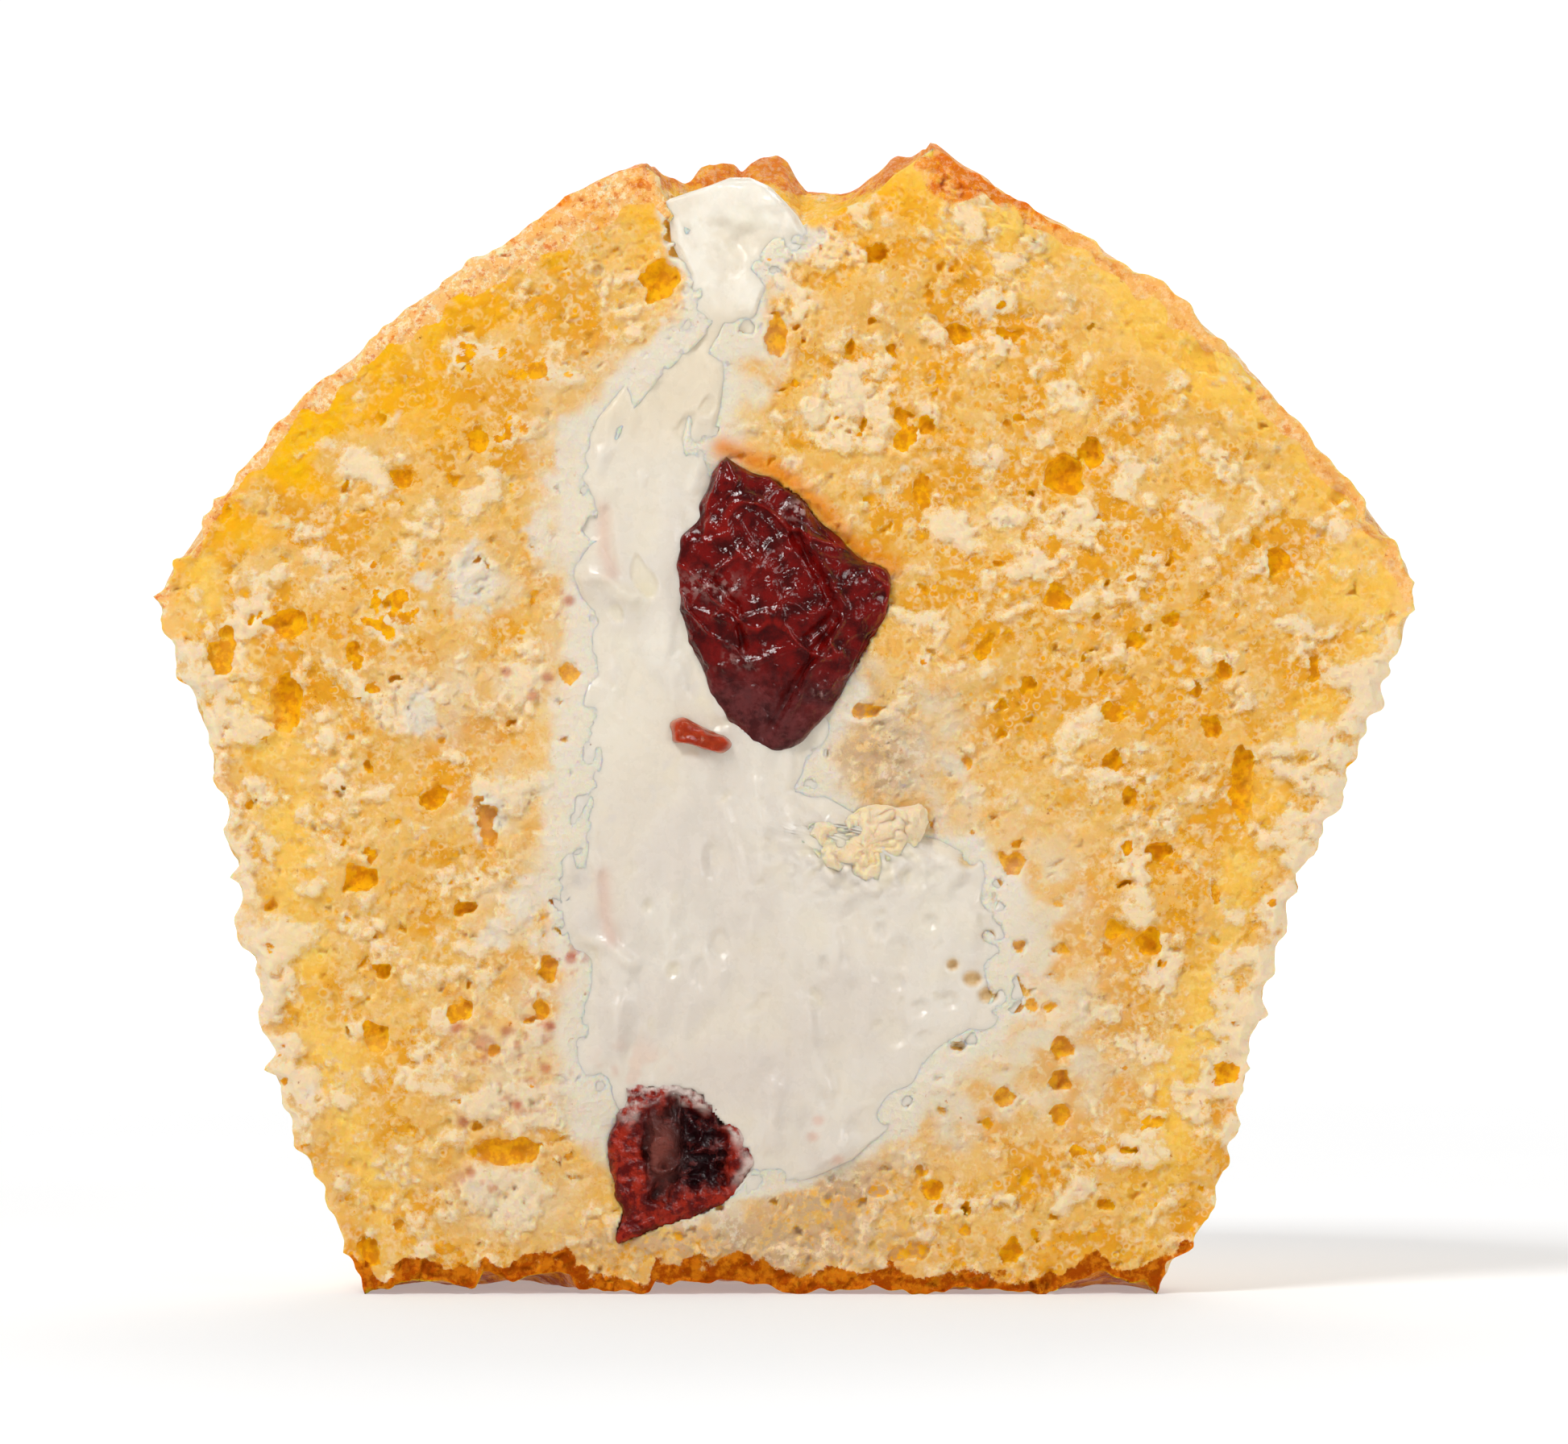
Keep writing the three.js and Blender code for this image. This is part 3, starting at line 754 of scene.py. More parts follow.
# %% Pockets for the filling
off_middle = (FACE_X * 2 - cream_left - cream_right) / (cream_right - cream_left)
creamy = np.sqrt(np.clip(1 - off_middle**2, 0, 1))
cream_depth = at_height(CREAM_DEPTH, FACE_Z)
face_relief = relief.copy()
pocket = smooth(1.8, 2.6, inside_cream)
relief = relief * (1 - pocket) + pocket * np.minimum(relief, -0.4 - cream_depth * creamy)
for fruit, reach in ((UPPER_CHERRY, reach_upper), (LOWER_CHERRY, reach_lower)):
    bowl = -0.3 - fruit["back"] * np.sqrt(np.clip(1 - reach**2, 0, 1))
    relief = np.where(reach < 0.96, np.minimum(relief, bowl), relief)
print(f"the pockets are up to {-relief.min():.1f} mm deep")

# %% [markdown]
# ## One closed mesh from patches
# A shell collects patches of points and the faces between them. Each patch also has a place on a flat map
# of the muffin, so that its colours can be baked without stretching. Two patches share the points along
# their common edge. The cut face is twice as fine as the outside, so a zip of triangles joins them.

# %% The shell
class Shell:
    """Collects patches into one closed mesh."""

    def __init__(self):
        self.points, self.values, self.faces, self.maps, self.kinds = [], [], [], [], []
        self.count = 0

    def add(self, points, **values):
        """Adds an array of points (in mm) with the values stored at each, and returns their numbers."""
        flat = points.reshape(-1, 3)
        self.points.append(flat)
        self.values.append({k: np.broadcast_to(v, points.shape[:-1]).reshape(-1) for k, v in values.items()})
        numbers = np.arange(self.count, self.count + len(flat)).reshape(points.shape[:-1])
        self.count += len(flat)
        return numbers

    def skin(self, corners, places, kind):
        """Faces from lists of corner numbers and their places on the map. Corners that repeat are dropped."""
        same = corners == np.roll(corners, -1, axis=1)
        whole = ~same.any(axis=1)
        self.faces.extend(corners[whole].tolist())
        self.maps.extend(places[whole].reshape(-1, 2).tolist())
        self.kinds.extend([kind] * int(whole.sum()))
        for face, place, double in zip(corners[~whole], places[~whole], same[~whole]):
            if (~double).sum() >= 3:
                self.faces.append(face[~double].tolist())
                self.maps.extend(place[~double].tolist())
                self.kinds.append(kind)

    def grid(self, numbers, places, kind=0, flip=False):
        """The quads of a patch."""
        def corners(a):
            four = [a[:-1, :-1], a[:-1, 1:], a[1:, 1:], a[1:, :-1]]
            return np.stack(four[::-1] if flip else four, axis=2)
        self.skin(corners(numbers).reshape(-1, 4), corners(places).reshape(-1, 4, 2), kind)

    def zip(self, fine, coarse, fine_places, coarse_places, kind=0, flip=False):
        """Joins an edge to one with half as many points."""
        def corners(f, c):
            three = [
                np.stack([c[:-1], f[:-2:2], f[1:-1:2]], axis=1),
                np.stack([c[:-1], f[1:-1:2], c[1:]], axis=1),
                np.stack([c[1:], f[1:-1:2], f[2::2]], axis=1),
            ]
            joined = np.concatenate(three)
            return joined[:, ::-1] if flip else joined
        self.skin(corners(fine, coarse), corners(fine_places, coarse_places), kind)

    def make(self, name, materials):
        """The finished object, in metres."""
        mesh = bpy.data.meshes.new(name)
        points = np.vstack(self.points) * MM
        sizes = np.array([len(face) for face in self.faces])
        mesh.vertices.add(len(points))
        mesh.vertices.foreach_set("co", points.astype(np.float32).ravel())
        mesh.loops.add(int(sizes.sum()))
        corners = np.concatenate([np.array(face) for face in self.faces]).astype(np.int32)
        mesh.loops.foreach_set("vertex_index", corners)
        mesh.polygons.add(len(sizes))
        mesh.polygons.foreach_set("loop_start", np.concatenate([[0], np.cumsum(sizes)[:-1]]).astype(np.int32))
        mesh.polygons.foreach_set("material_index", np.array(self.kinds, np.int32))
        mesh.uv_layers.new(name="OFBake").data.foreach_set("uv", np.array(self.maps, np.float32).ravel())
        for key in sorted(set().union(*self.values)):
            column = [v.get(key, np.zeros(len(p))) for v, p in zip(self.values, self.points)]
            stored = mesh.attributes.new(key, "FLOAT", "POINT")
            stored.data.foreach_set("value", np.concatenate(column).astype(np.float32))
        for material in materials:
            mesh.materials.append(material)
        mesh.update(calc_edges=True)
        mesh.validate()
        mesh.shade_smooth()
        piece = bpy.data.objects.new(name, mesh)
        bpy.context.collection.objects.link(piece)
        print(f"{name}: {len(mesh.vertices)} points, {len(mesh.polygons)} faces")
        return piece


# %% [markdown]
# ## The outside of the muffin
# The outside is half of a round body. At each height it is a half ring between the left and the right
# edge of the cut. The paper case pressed 44 pleats into the wall. The crust is grainy, with small
# blisters, and tears into little teeth where the knife came through.

# %% Skin of the muffin
PLEATS = 44
PLEAT_DEPTH = 0.55


def skin(rows, turns):
    """Points of the outside for row numbers and turns (0 at the right edge, pi at the left)."""
    row = np.asarray(rows)[:, None]
    turn = np.asarray(turns)[None, :]
    left, right = LEFT[row], RIGHT[row]
    half = (right - left) / 2
    centre = (right + left) / 2
    x = centre[..., 0] + half[..., 0] * np.cos(turn)
    y = half[..., 0] * np.sin(turn)
    z = centre[..., 1] + half[..., 1] * np.cos(turn)
    points = np.stack([x, y, z], axis=-1)
    rise = np.clip((row - WALL_ROWS) / DOME_ROWS, 0, 1)
    closing = np.gradient(RIGHT[:, 0] - LEFT[:, 0]) * -0.5
    climbing = np.gradient(RIGHT[:, 1] + LEFT[:, 1]) * 0.5
    lean = np.clip(np.arctan2(closing, climbing)[row], -0.35, 1.45)
    facing = np.stack(
        [np.cos(lean) * np.cos(turn), np.cos(lean) * np.sin(turn), np.sin(lean) * np.ones_like(turn)], axis=-1
    )
    on_wall = smooth(0, 0.08, row / WALL_ROWS) * (1 - smooth(0.9, 1.04, row / WALL_ROWS))
    wave = 0.5 - 0.5 * np.cos(PLEATS * turn + 0.4 * grain(51, points, 9))
    pleat = -PLEAT_DEPTH * on_wall * wave**1.6
    crumbs = 0.16 * grain(52, points, 1.3) + 0.1 * grain(53, points, 0.6)
    crust = 0.28 * grain(54, points, 4) + 0.12 * creases(55, points, 1.8) + 0.05 * grain(56, points, 0.7)
    lift = pleat + np.where(row < WALL_ROWS, crumbs, 0) * (1 - rise)
    lift = lift + crust * smooth(0.9, 1.1, row / WALL_ROWS)
    near_cut = np.exp(-((y / 1.3) ** 2))
    teeth = 0.34 * grain(57, points * (1, 0.3, 1), 0.75) + 0.3 * creases(58, points * (1, 0.3, 1), 1.5) - 0.1
    lift = lift + near_cut * teeth * (1 - 0.55 * smooth(0.1, 0.3, rise))
    foot = 1 - smooth(0, 0.03, row / WALL_ROWS)
    lift = lift * (1 - foot)
    points = points + facing * lift[..., None]
    points[..., 2] = np.maximum(points[..., 2], 0)
    top = smooth(0.8, 1, rise)
    ring_z = np.interp(points[..., 0], *zip(*HOLE_BACK)) + 0.35 + 0.25 * grain(59, points, 0.9)
    plain_z = LEFT[-1][1] + (RIGHT - LEFT)[-1][1] * (1 + np.cos(turn)) / 2
    points[..., 2] += top * (ring_z - plain_z) * np.sin(turn) ** 0.3
    return points, {"pleat": wave * on_wall, "rise": rise * np.ones_like(turn)}


print(PLEATS, "pleats,", PLEAT_DEPTH, "mm deep")

# %% Half rings behind the cut
rows_fine = np.arange(ROWS + 1)
rows_coarse = rows_fine[::2]
turn_steps = np.linspace(0, 1, TURNS + 1)
turns = math.pi * (turn_steps + 0.045 * np.sin(2 * math.pi * turn_steps) * -1)
edges = skin(rows_fine, [0, math.pi])[0]
back, back_values = skin(rows_coarse, turns)
print("outside:", back.shape[:2], "points")

# %% Points of the cut face
across = np.linspace(0, 1, COLUMNS + 1)[None, :]
row_part = rows_fine[:, None] / ROWS
chord = LEFT[:, None, :] * (1 - across[..., None]) + RIGHT[:, None, :] * across[..., None]
face_x, face_z = chord[..., 0].copy(), chord[..., 1].copy()
drop = np.interp(face_x[-1], *zip(*HOLE_FRONT)) - face_z[-1]
face_z += drop[None, :] * smooth(0.82, 1, row_part) ** 1.5
width = (RIGHT - LEFT)[:, :1]
both_sides = ((edges[:, 1], across * width, LEFT), (edges[:, 0], (1 - across) * width, RIGHT))
for edge, from_edge, line in both_sides:
    follow = np.exp(-((from_edge / 0.9) ** 2))
    face_x += (edge[:, :1] - line[:, :1]) * follow
    face_z += (edge[:, 2:] - line[:, 1:]) * follow
lumps = np.interp(face_x[0], *zip(*BASE_EDGE)) + 0.1 * sample(cloud(62, 0.8), face_x, 0 * face_z + 5)[0]
ends = smooth(0, 0.02, across) * smooth(0, 0.02, 1 - across)
face_z += np.clip(lumps, 0, 1.3) * (1 - smooth(0, 0.05, row_part)) * ends
rim = np.minimum(across * width, (1 - across) * width)
rim = np.minimum(rim, 0.4 + np.arange(ROWS, -1, -1)[:, None] * CELL)
height = sample(relief, face_x, face_z) * smooth(0, 0.9, rim)
face = np.stack([face_x, -height, face_z], axis=-1)
face[:, 0], face[:, -1] = edges[:, 1], edges[:, 0]
print("cut face:", face.shape[:2], "points")

# %% Put the crumb together
FACE_MAPS = {
    "hollow": hollow, "level": level, "shelf": shelf, "warm": warm, "soak": soak, "milk": milk,
    "wet": wet, "stain": stain, "juice": juice, "gold": gold, "lemon": lemon, "toast": toast,
    "bake": bake, "scorch": scorch,
}
MAP_SIDE = 100.0
FACE_CORNER, BACK_CORNER, BASE_CORNER, CRATER_CORNER = (36.5, 1), (1, 69), (74, 1), (74, 20)
BACK_TURNS_SIDE, BACK_ROWS_SIDE = 68.0, 30.0
shell = Shell()
at_cut = np.array([0, CUT_Y, 0])
face_numbers = shell.add(face + at_cut, **{k: sample(v, face_x, face_z) for k, v in FACE_MAPS.items()})
face_places = (np.stack([face_x, face_z], axis=-1) + FACE_CORNER) / MAP_SIDE
back_inside = back[:, 1:-1]
toast_back = smooth(-0.02, 0.06, back_values["rise"][:, 1:-1])
toast_back = np.maximum(toast_back, 0.3 - 0.2 * back_values["pleat"][:, 1:-1])
scorch_back = 1 - smooth(0.3, 2.2, back_inside[..., 2] + 0.7 * grain(63, back_inside, 2))
bake_back = 0.25 + 0.4 * smooth(0.45, 0.95, back_values["rise"][:, 1:-1])
bake_back += 0.35 * smooth(0.88, 0.98, back_values["rise"][:, 1:-1])
inner = shell.add(back_inside + at_cut, hollow=0.3, warm=0.6, level=0.4 + 0.5 * grain(60, back_inside, 1.2),
                  toast=toast_back, bake=bake_back, scorch=scorch_back)
back_numbers = np.hstack([face_numbers[::2, -1:], inner, face_numbers[::2, :1]])
back_u = (BACK_CORNER[0] + BACK_TURNS_SIDE * turns / math.pi) / MAP_SIDE
back_v = (BACK_CORNER[1] + BACK_ROWS_SIDE * rows_coarse / ROWS) / MAP_SIDE
back_places = np.stack(np.broadcast_arrays(back_u[None, :], back_v[:, None]), axis=-1)
print("the cut face and the outside have", shell.count, "points")

# %% Faces of the cut and the outside
shell.grid(face_numbers, face_places)
shell.grid(back_numbers[:, 1:-1], back_places[:, 1:-1], kind=1)
fine_v = (BACK_CORNER[1] + BACK_ROWS_SIDE * rows_fine / ROWS) / MAP_SIDE
for edge, inside, u, flip in ((-1, 1, back_u[0], True), (0, -2, back_u[-1], False)):
    fine_places = np.stack([np.full(ROWS + 1, u), fine_v], axis=-1)
    shell.zip(face_numbers[:, edge], back_numbers[:, inside], fine_places, back_places[:, inside], 1, flip)
print("and", len(shell.faces), "faces")

# %% [markdown]
# ## The base and the crater
# The base is the browned underside that stood in the tin. The crater is what is left of the crown round
# the filling hole: a rough slope from the cut back up to the far rim. Both are caps between an edge of the
# cut face and the half ring behind it.

# %% Caps
def cap(front_edge, ring, steps, shape, corner, size, flip, **values):
    """Closes the gap between a fine front edge and a coarse half ring behind it."""
    all_points = np.vstack(shell.points)
    front, behind = all_points[front_edge], all_points[ring]
    v = np.linspace(0, 1, steps + 1)[None, 1:-1, None]
    points = shape(front[::2, None] * (1 - v) + behind[:, None] * v, v)
    inside = shell.add(points[1:-1], **{k: f(points[1:-1]) for k, f in values.items()})
    ends = [np.full((1, steps - 1), edge[0]) for edge in (front_edge[:1], front_edge[-1:])]
    inside = np.vstack([ends[0], inside, ends[1]])
    numbers = np.hstack([inside, ring[:, None]])
    u = np.linspace(0, 1, len(ring))[:, None]
    depth = np.linspace(0, 1, steps + 1)[None, 1:]
    places = np.stack(np.broadcast_arrays(u * size[0], depth * size[1]), axis=-1)
    places = (places + corner) / MAP_SIDE
    shell.grid(numbers, places, 1, not flip)
    fine_u = np.linspace(0, 1, len(front_edge)) * size[0]
    fine_places = (np.stack([fine_u, 0 * fine_u], axis=-1) + corner) / MAP_SIDE
    shell.zip(front_edge, numbers[:, 0], fine_places, places[:, 0], 1, flip)


def base_shape(points, v):
    """The underside stands on its lumps and is a little hollow between them."""
    lumps = 0.35 + 0.4 * grain(64, points, 3.5) + 0.15 * grain(65, points, 1.1)
    raised = np.clip(lumps, 0, 0.9) * np.sin(math.pi * v[..., 0]) ** 0.5
    points[..., 2] = points[..., 2] * (1 - v[..., 0]) ** 2 + raised
    return points


def crater_shape(points, v):
    """The torn slope behind the cut, rough and a little hollow."""
    rough = 0.5 * grain(66, points, 2.2) + 0.3 * creases(67, points, 1.1) + 0.12 * grain(68, points, 0.5)
    points[..., 2] += np.sin(math.pi * v[..., 0]) * (rough - 0.9)
    return points


ring_top, ring_foot = back_numbers[-1, ::-1], back_numbers[0, ::-1]
cap(face_numbers[0], ring_foot, round(22 / CELL / 3), base_shape, BASE_CORNER, (24, 12), True,
    scorch=lambda p: np.ones(p.shape[:2]))
cap(face_numbers[-1], ring_top, round(9 / CELL / 2), crater_shape, CRATER_CORNER, (20, 12), False,
    toast=lambda p: smooth(61, 62.6, p[..., 2] + 0.6 * grain(70, p, 0.9)),
    bake=lambda p: np.full(p.shape[:2], 0.95),
    gold=lambda p: np.full(p.shape[:2], 0.8),
    level=lambda p: 0.5 + grain(69, p, 1.2))
print("with its base and crater the crumb has", shell.count, "points")

# %% [markdown]
# ## The finish of the sponge and the crust
# Sponge is pale where a flake stands up and catches light from all sides, and amber in a pore, where light
# has crossed many thin yolk-yellow walls. That light is painted into the colour: the stored depth picks
# painted light for raised flakes and a painted glow for pores, and fine cells that are too small for the mesh
# add rings of the same painted light and glow, and bumps. Crust is the same batter dried and browned.

# %% Cut sponge
# The flake colours are painted light on raised crumb, and the amber colours are a painted glow in pores.
LIT_FLAKE_WHITE, LIT_FLAKE_PALE, SHELF_TAN = (0.88, 0.71, 0.47), (0.87, 0.64, 0.34), (0.84, 0.56, 0.2)
SPONGE_TAN, SPONGE_WARM = (0.82, 0.5, 0.13), (0.79, 0.38, 0.025)
AMBER_PORE_GLOW, DEEP_AMBER_PORE_GLOW = (0.94, 0.48, 0.006), (0.76, 0.31, 0.008)
CREAM_WHITE, MILK_WHITE, WET_CRUMB = (0.8, 0.69, 0.51), (0.81, 0.73, 0.6), (0.64, 0.44, 0.26)
GOLD, LEMON = (0.98, 0.52, 0.006), (0.98, 0.65, 0.14)
JUICE_ORANGE, STAIN_RED = (0.8, 0.27, 0.008), (0.55, 0.13, 0.05)
CRUST_TAN, CRUST_ORANGE = (0.92, 0.54, 0.2), (0.92, 0.41, 0.03)
CRUST_PALE, CRUST_DARK, CRUST_GOLD = (0.95, 0.76, 0.48), (0.74, 0.18, 0.01), (0.88, 0.47, 0.1)
SCORCH_DARK, SCORCH_GOLD = (0.4, 0.075, 0.001), (0.66, 0.21, 0.006)


def sponge_colour(finish):
    """The chain of tints that the cut face and the outside share."""
    def jitter(value, size, much):
        rough = finish.maths("SUBTRACT", finish.noise(size, 4, 0.65), 0.5)
        return finish.maths("MULTIPLY_ADD", rough, much, value)

    def times(a, b):
        return finish.maths("MULTIPLY", a, b)

    warmth = jitter(finish.stored("warm"), 1.6, 2.6)
    colour = finish.tint(SPONGE_TAN, SPONGE_WARM, finish.between(warmth, 0.15, 0.85))
    # Painted glow of the pores, amber and darker amber at random.
    pore_glow = finish.tint(AMBER_PORE_GLOW, DEEP_AMBER_PORE_GLOW, finish.between(finish.noise(0.6, 3, 0.6), 0.4, 0.6))
    some = finish.between(finish.noise(1.3, 2), 0.36, 0.56)
    broken = finish.between(finish.noise(0.7, 3), 0.42, 0.6)
    # Each small cell gets a painted glow in its middle and a painted lit rim.
    for size, ring in ((1.3, 0.3), (0.8, 0.3), (0.5, 0.32)):
        cell = finish.cells(size, bent=0.16 * size)
        inside = finish.between(cell, ring * 0.4, ring, 1.0, 0.0)
        off_ring = finish.maths("ABSOLUTE", finish.maths("SUBTRACT", cell, ring * 1.2))
        colour = finish.tint(colour, pore_glow, times(inside, times(some, 0.75)))
        on_ring = finish.between(off_ring, 0.0, 0.16, 1.0, 0.0)
        colour = finish.tint(colour, LIT_FLAKE_PALE, times(on_ring, times(broken, 0.7)))
    # Raised shelves and flakes are painted paler as painted light, and the highest are painted white.
    on_shelf = finish.between(jitter(finish.stored("shelf"), 0.35, 4), 0.1, 0.24, 0.0, 0.55)
    colour = finish.tint(colour, SHELF_TAN, on_shelf)
    risen = jitter(jitter(finish.stored("level"), 0.3, 3.2), 0.9, 2.2)
    colour = finish.tint(colour, LIT_FLAKE_PALE, finish.between(risen, 0.2, 0.34, 0.0, 0.4))
    colour = finish.tint(colour, LIT_FLAKE_PALE, finish.between(risen, 0.67, 0.73))
    colour = finish.tint(colour, LIT_FLAKE_WHITE, finish.between(risen, 1.0, 1.16, 0.0, 0.95))
    # Deeper pores are painted with the amber glow.
    depth = jitter(finish.stored("hollow"), 0.25, 0.9)
    colour = finish.tint(colour, pore_glow, finish.between(depth, 0.28, 0.55))
    uneven = finish.between(finish.noise(0.8, 4, 0.7), 0.35, 0.6, 0.7, 1.0)
    richer = times(finish.between(risen, 0.5, 1.1, 1.0, 0.4), uneven)
    colour = finish.tint(colour, GOLD, finish.share("gold", richer))
    colour = finish.tint(colour, LEMON, finish.share("lemon", finish.between(risen, 0.1, 0.8, 0.85, 0.15)))
    shallow = finish.between(depth, 0.3, 0.7, 1.0, 0.12)
    colour = finish.tint(colour, CREAM_WHITE, finish.share("soak", shallow))
    colour = finish.tint(colour, MILK_WHITE, finish.share("milk", shallow))
    patchy = finish.between(finish.noise(0.6, 4, 0.7), 0.42, 0.56, 0.12, 1.0)
    colour = finish.tint(colour, WET_CRUMB, finish.share("wet", patchy))
    colour = finish.tint(colour, JUICE_ORANGE, finish.share("juice", 0.85))
    colour = finish.tint(colour, STAIN_RED, finish.share("stain", 0.8))
    bake = jitter(finish.stored("bake"), 0.8, 1.4)
    skin = finish.tint(CRUST_TAN, CRUST_ORANGE, finish.between(bake, 0.1, 0.9))
    skin = finish.tint(skin, CRUST_DARK, finish.between(jitter(bake, 1.1, 2.4), 0.5, 1.1, 0.0, 0.85))
    pale_speck = finish.between(finish.noise(0.4, 4, 0.75), 0.48, 0.58)
    skin = finish.tint(skin, CRUST_PALE, times(pale_speck, finish.between(bake, 0.2, 0.9, 0.9, 0.3)))
    skin = finish.tint(skin, CRUST_DARK, finish.between(finish.noise(0.55, 4, 0.75), 0.52, 0.63, 0.0, 0.7))
    hardly_baked = finish.between(finish.stored("bake"), 0.35, 0.7, 0.65, 0.0)
    skin = finish.tint(skin, CRUST_GOLD, finish.share("lemon", hardly_baked))
    colour = finish.tint(colour, skin, finish.between(jitter(finish.stored("toast"), 0.3, 1.2), 0.35, 0.65))
    under = finish.tint(SCORCH_DARK, SCORCH_GOLD, finish.between(finish.noise(0.9, 4, 0.7), 0.42, 0.6))
    return finish.tint(colour, under, finish.between(jitter(finish.stored("scorch"), 0.5, 2.2), 0.3, 0.7))


GLOW_DEPTH = 0.5 * MM
sponge = Finish("cut_sponge", Roughness=0.9, Specular_IOR_Level=0.06, Subsurface_Weight=1.0,
                Subsurface_Scale=GLOW_DEPTH)
sponge.shader.inputs["Subsurface Radius"].default_value = (1.0, 0.55, 0.2)
sponge.colour(sponge_colour(sponge))
shine = sponge.between(sponge.stored("soak"), 0.5, 1, 0.06, 0.3)
sponge.put(shine, sponge.shader.inputs["Specular IOR Level"])
sponge.rough(sponge.between(sponge.stored("soak"), 0.5, 1, 0.9, 0.4))
sponge.bump(
    (sponge.noise(0.6, 4, 0.65), 0.14),
    (sponge.cells(0.5, bent=0.08), 0.09),
    (sponge.noise(0.18, 2), 0.03),
)
print("the sponge's finish has", len(sponge.nodes), "nodes")

# %% Crust
crust = Finish("baked_crust", Roughness=0.6, Specular_IOR_Level=0.2, Subsurface_Weight=0.4,
               Subsurface_Scale=GLOW_DEPTH)
crust.colour(sponge_colour(crust))
crust.rough(crust.between(crust.noise(1.5, 3), 0.3, 0.7, 0.5, 0.8))
crust.bump((crust.noise(0.8, 4, 0.6), 0.22), (crust.cells(0.4), 0.08), (crust.noise(0.2, 2), 0.04))
print("the crust's finish has", len(crust.nodes), "nodes")

# %% The crumb takes its place
crumb = shell.make("crumb", [sponge.material, crust.material])
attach(crumb, "root")
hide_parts("muffin_crumb")

# %% [markdown]
# ## The cream
# Whipped cream is smooth and soft, with long smears from the knife. It is thickest in the middle. At its
# edges it thins out over the sponge, which is soaked and flattened there, so the two fade into each other.
# It has its own relief over the cut and a rounded body behind.

# %% Folds, pores and dents that show
FOLD_STEP = 20.4
FOLDS = [
    ([(-11.4, 47.8), (-11.8, 45.9), (-12.2, 44.5)], 0.5, 0.34),
    ([(-10.4, 46.8), (-10.8, 45.6), (-10.2, 44.1)], 0.55, 0.36),
    ([(-11.4, 40.2), (-9.8, 39.9), (-8.5, 38.8)], 0.4, 0.3),
    ([(-9.9, 43.8), (-9.7, 41.5), (-9.3, 40.1)], 0.32, -0.28),
]
LONG_FOLDS = [
    ([(-9.2, 49), (-9.6, 44), (-9.4, 38), (-9.9, 33)], 0.7, 0.22),
    ([(-11.9, 36), (-11.2, 32), (-11.9, 27), (-12.2, 23)], 0.6, 0.2),
    ([(-7, 47), (-7.6, 41), (-7, 35)], 0.9, 0.18),
    ([(-6.5, 29), (-7, 24), (-6.4, 18)], 0.9, 0.22),
    ([(-3.4, 27.4), (-2.7, 25), (-2.2, 22.6)], 0.35, 0.24),
    ([(1.3, 16), (1.8, 13), (2.6, 11.4)], 0.35, 0.2),
    ([(-11.8, 34.4), (-10.2, 33.1), (-9, 31.9)], 0.6, 0.28),
    ([(-5.4, 16.2), (-5.8, 14), (-5.2, 12.4)], 0.5, 0.2),
    ([(-8.3, 31), (-8.8, 26), (-8.2, 20)], 0.7, 0.2),
    ([(2.4, 22.4), (3, 18), (2.6, 14.6)], 0.6, 0.16),
    ([(-1.6, 28.6), (-1.1, 26), (-1.4, 23.4)], 0.3, 0.18),
    ([(-8.9, 17.4), (-9.4, 14.6), (-9, 12.2)], 0.5, 0.18),
]
CREAM_PORES = [
    (9.4, 18.4, 0.3, 0.3), (10.5, 17.6, 0.5, 0.4), (11.5, 22, 0.42, 0.5), (11.4, 20, 0.35, 0.3),
    (11.4, 16.7, 0.5, 0.42), (9.7, 13.8, 0.36, 0.34), (8.7, 12.9, 0.34, 0.3), (8.5, 12, 0.36, 0.34),
    (10.3, 24.2, 0.5, 0.36), (7, 10.2, 0.3, 0.3), (12, 18.6, 0.3, 0.26), (10.2, 11.9, 0.3, 0.3),
]
PALE_PORES = [
    (6.3, 14.6, 0.55, 0.6), (7.6, 16, 0.45, 0.4), (9.2, 16.4, 0.5, 0.4), (6.4, 17.4, 0.35, 0.35),
    (7.9, 14.3, 0.4, 0.35), (-3.9, 24.4, 0.5, 0.9), (-3.6, 19.6, 0.4, 0.7), (2.2, 18.4, 0.25, 0.5),
    (8.2, 20.8, 0.4, 0.35), (5.4, 20.2, 0.3, 0.4),
]
VEINS = [[(-10.1, 43.8), (-10, 41.5), (-9.6, 40.2)], [(-11.6, 38.7), (-12.2, 38.9)]]
DENTS = [
    (-3.6, 19.3, 0.6, 0.9), (-0.8, 25, 0.5, 0.8), (-4.7, 18, 0.4, 0.8), (3.2, 21.6, 0.9, 1.5),
    (6.4, 19, 0.7, 0.9),
]
print(2 * len(FOLDS) + len(LONG_FOLDS), "folds and", len(CREAM_PORES) + len(PALE_PORES), "pores")

# %% The cream's relief
smears = 0.1 * cloud(71, 3, 0.4) + 0.12 * cloud(73, 5, 0.7)
ripples = 0.05 * cloud(74, 1.2, 0.6) * smooth(-0.4, 1, cloud(75, 4))
plug = smooth(52.5, 55, FACE_Z)
tan_pores = most(dab(*pore, soft=0.7) for pore in CREAM_PORES)
pale_pores = most(dab(*pore, soft=1.2) for pore in PALE_PORES)
crumbly = dab(4.4, 24.7, 4.6, 2.5, 1.3)
dimples = smooth(1.5, 2.4, cloud(70, 1.5, 0.75)) * (1 - plug)
cream_relief = 0.38 + smears + ripples - 0.2 * dimples - 0.25 * pale_pores
cream_relief += crumbly * (0.2 + 0.2 * np.abs(cloud(46, 1.0)) + 0.12 * np.abs(cloud(47, 0.5)))
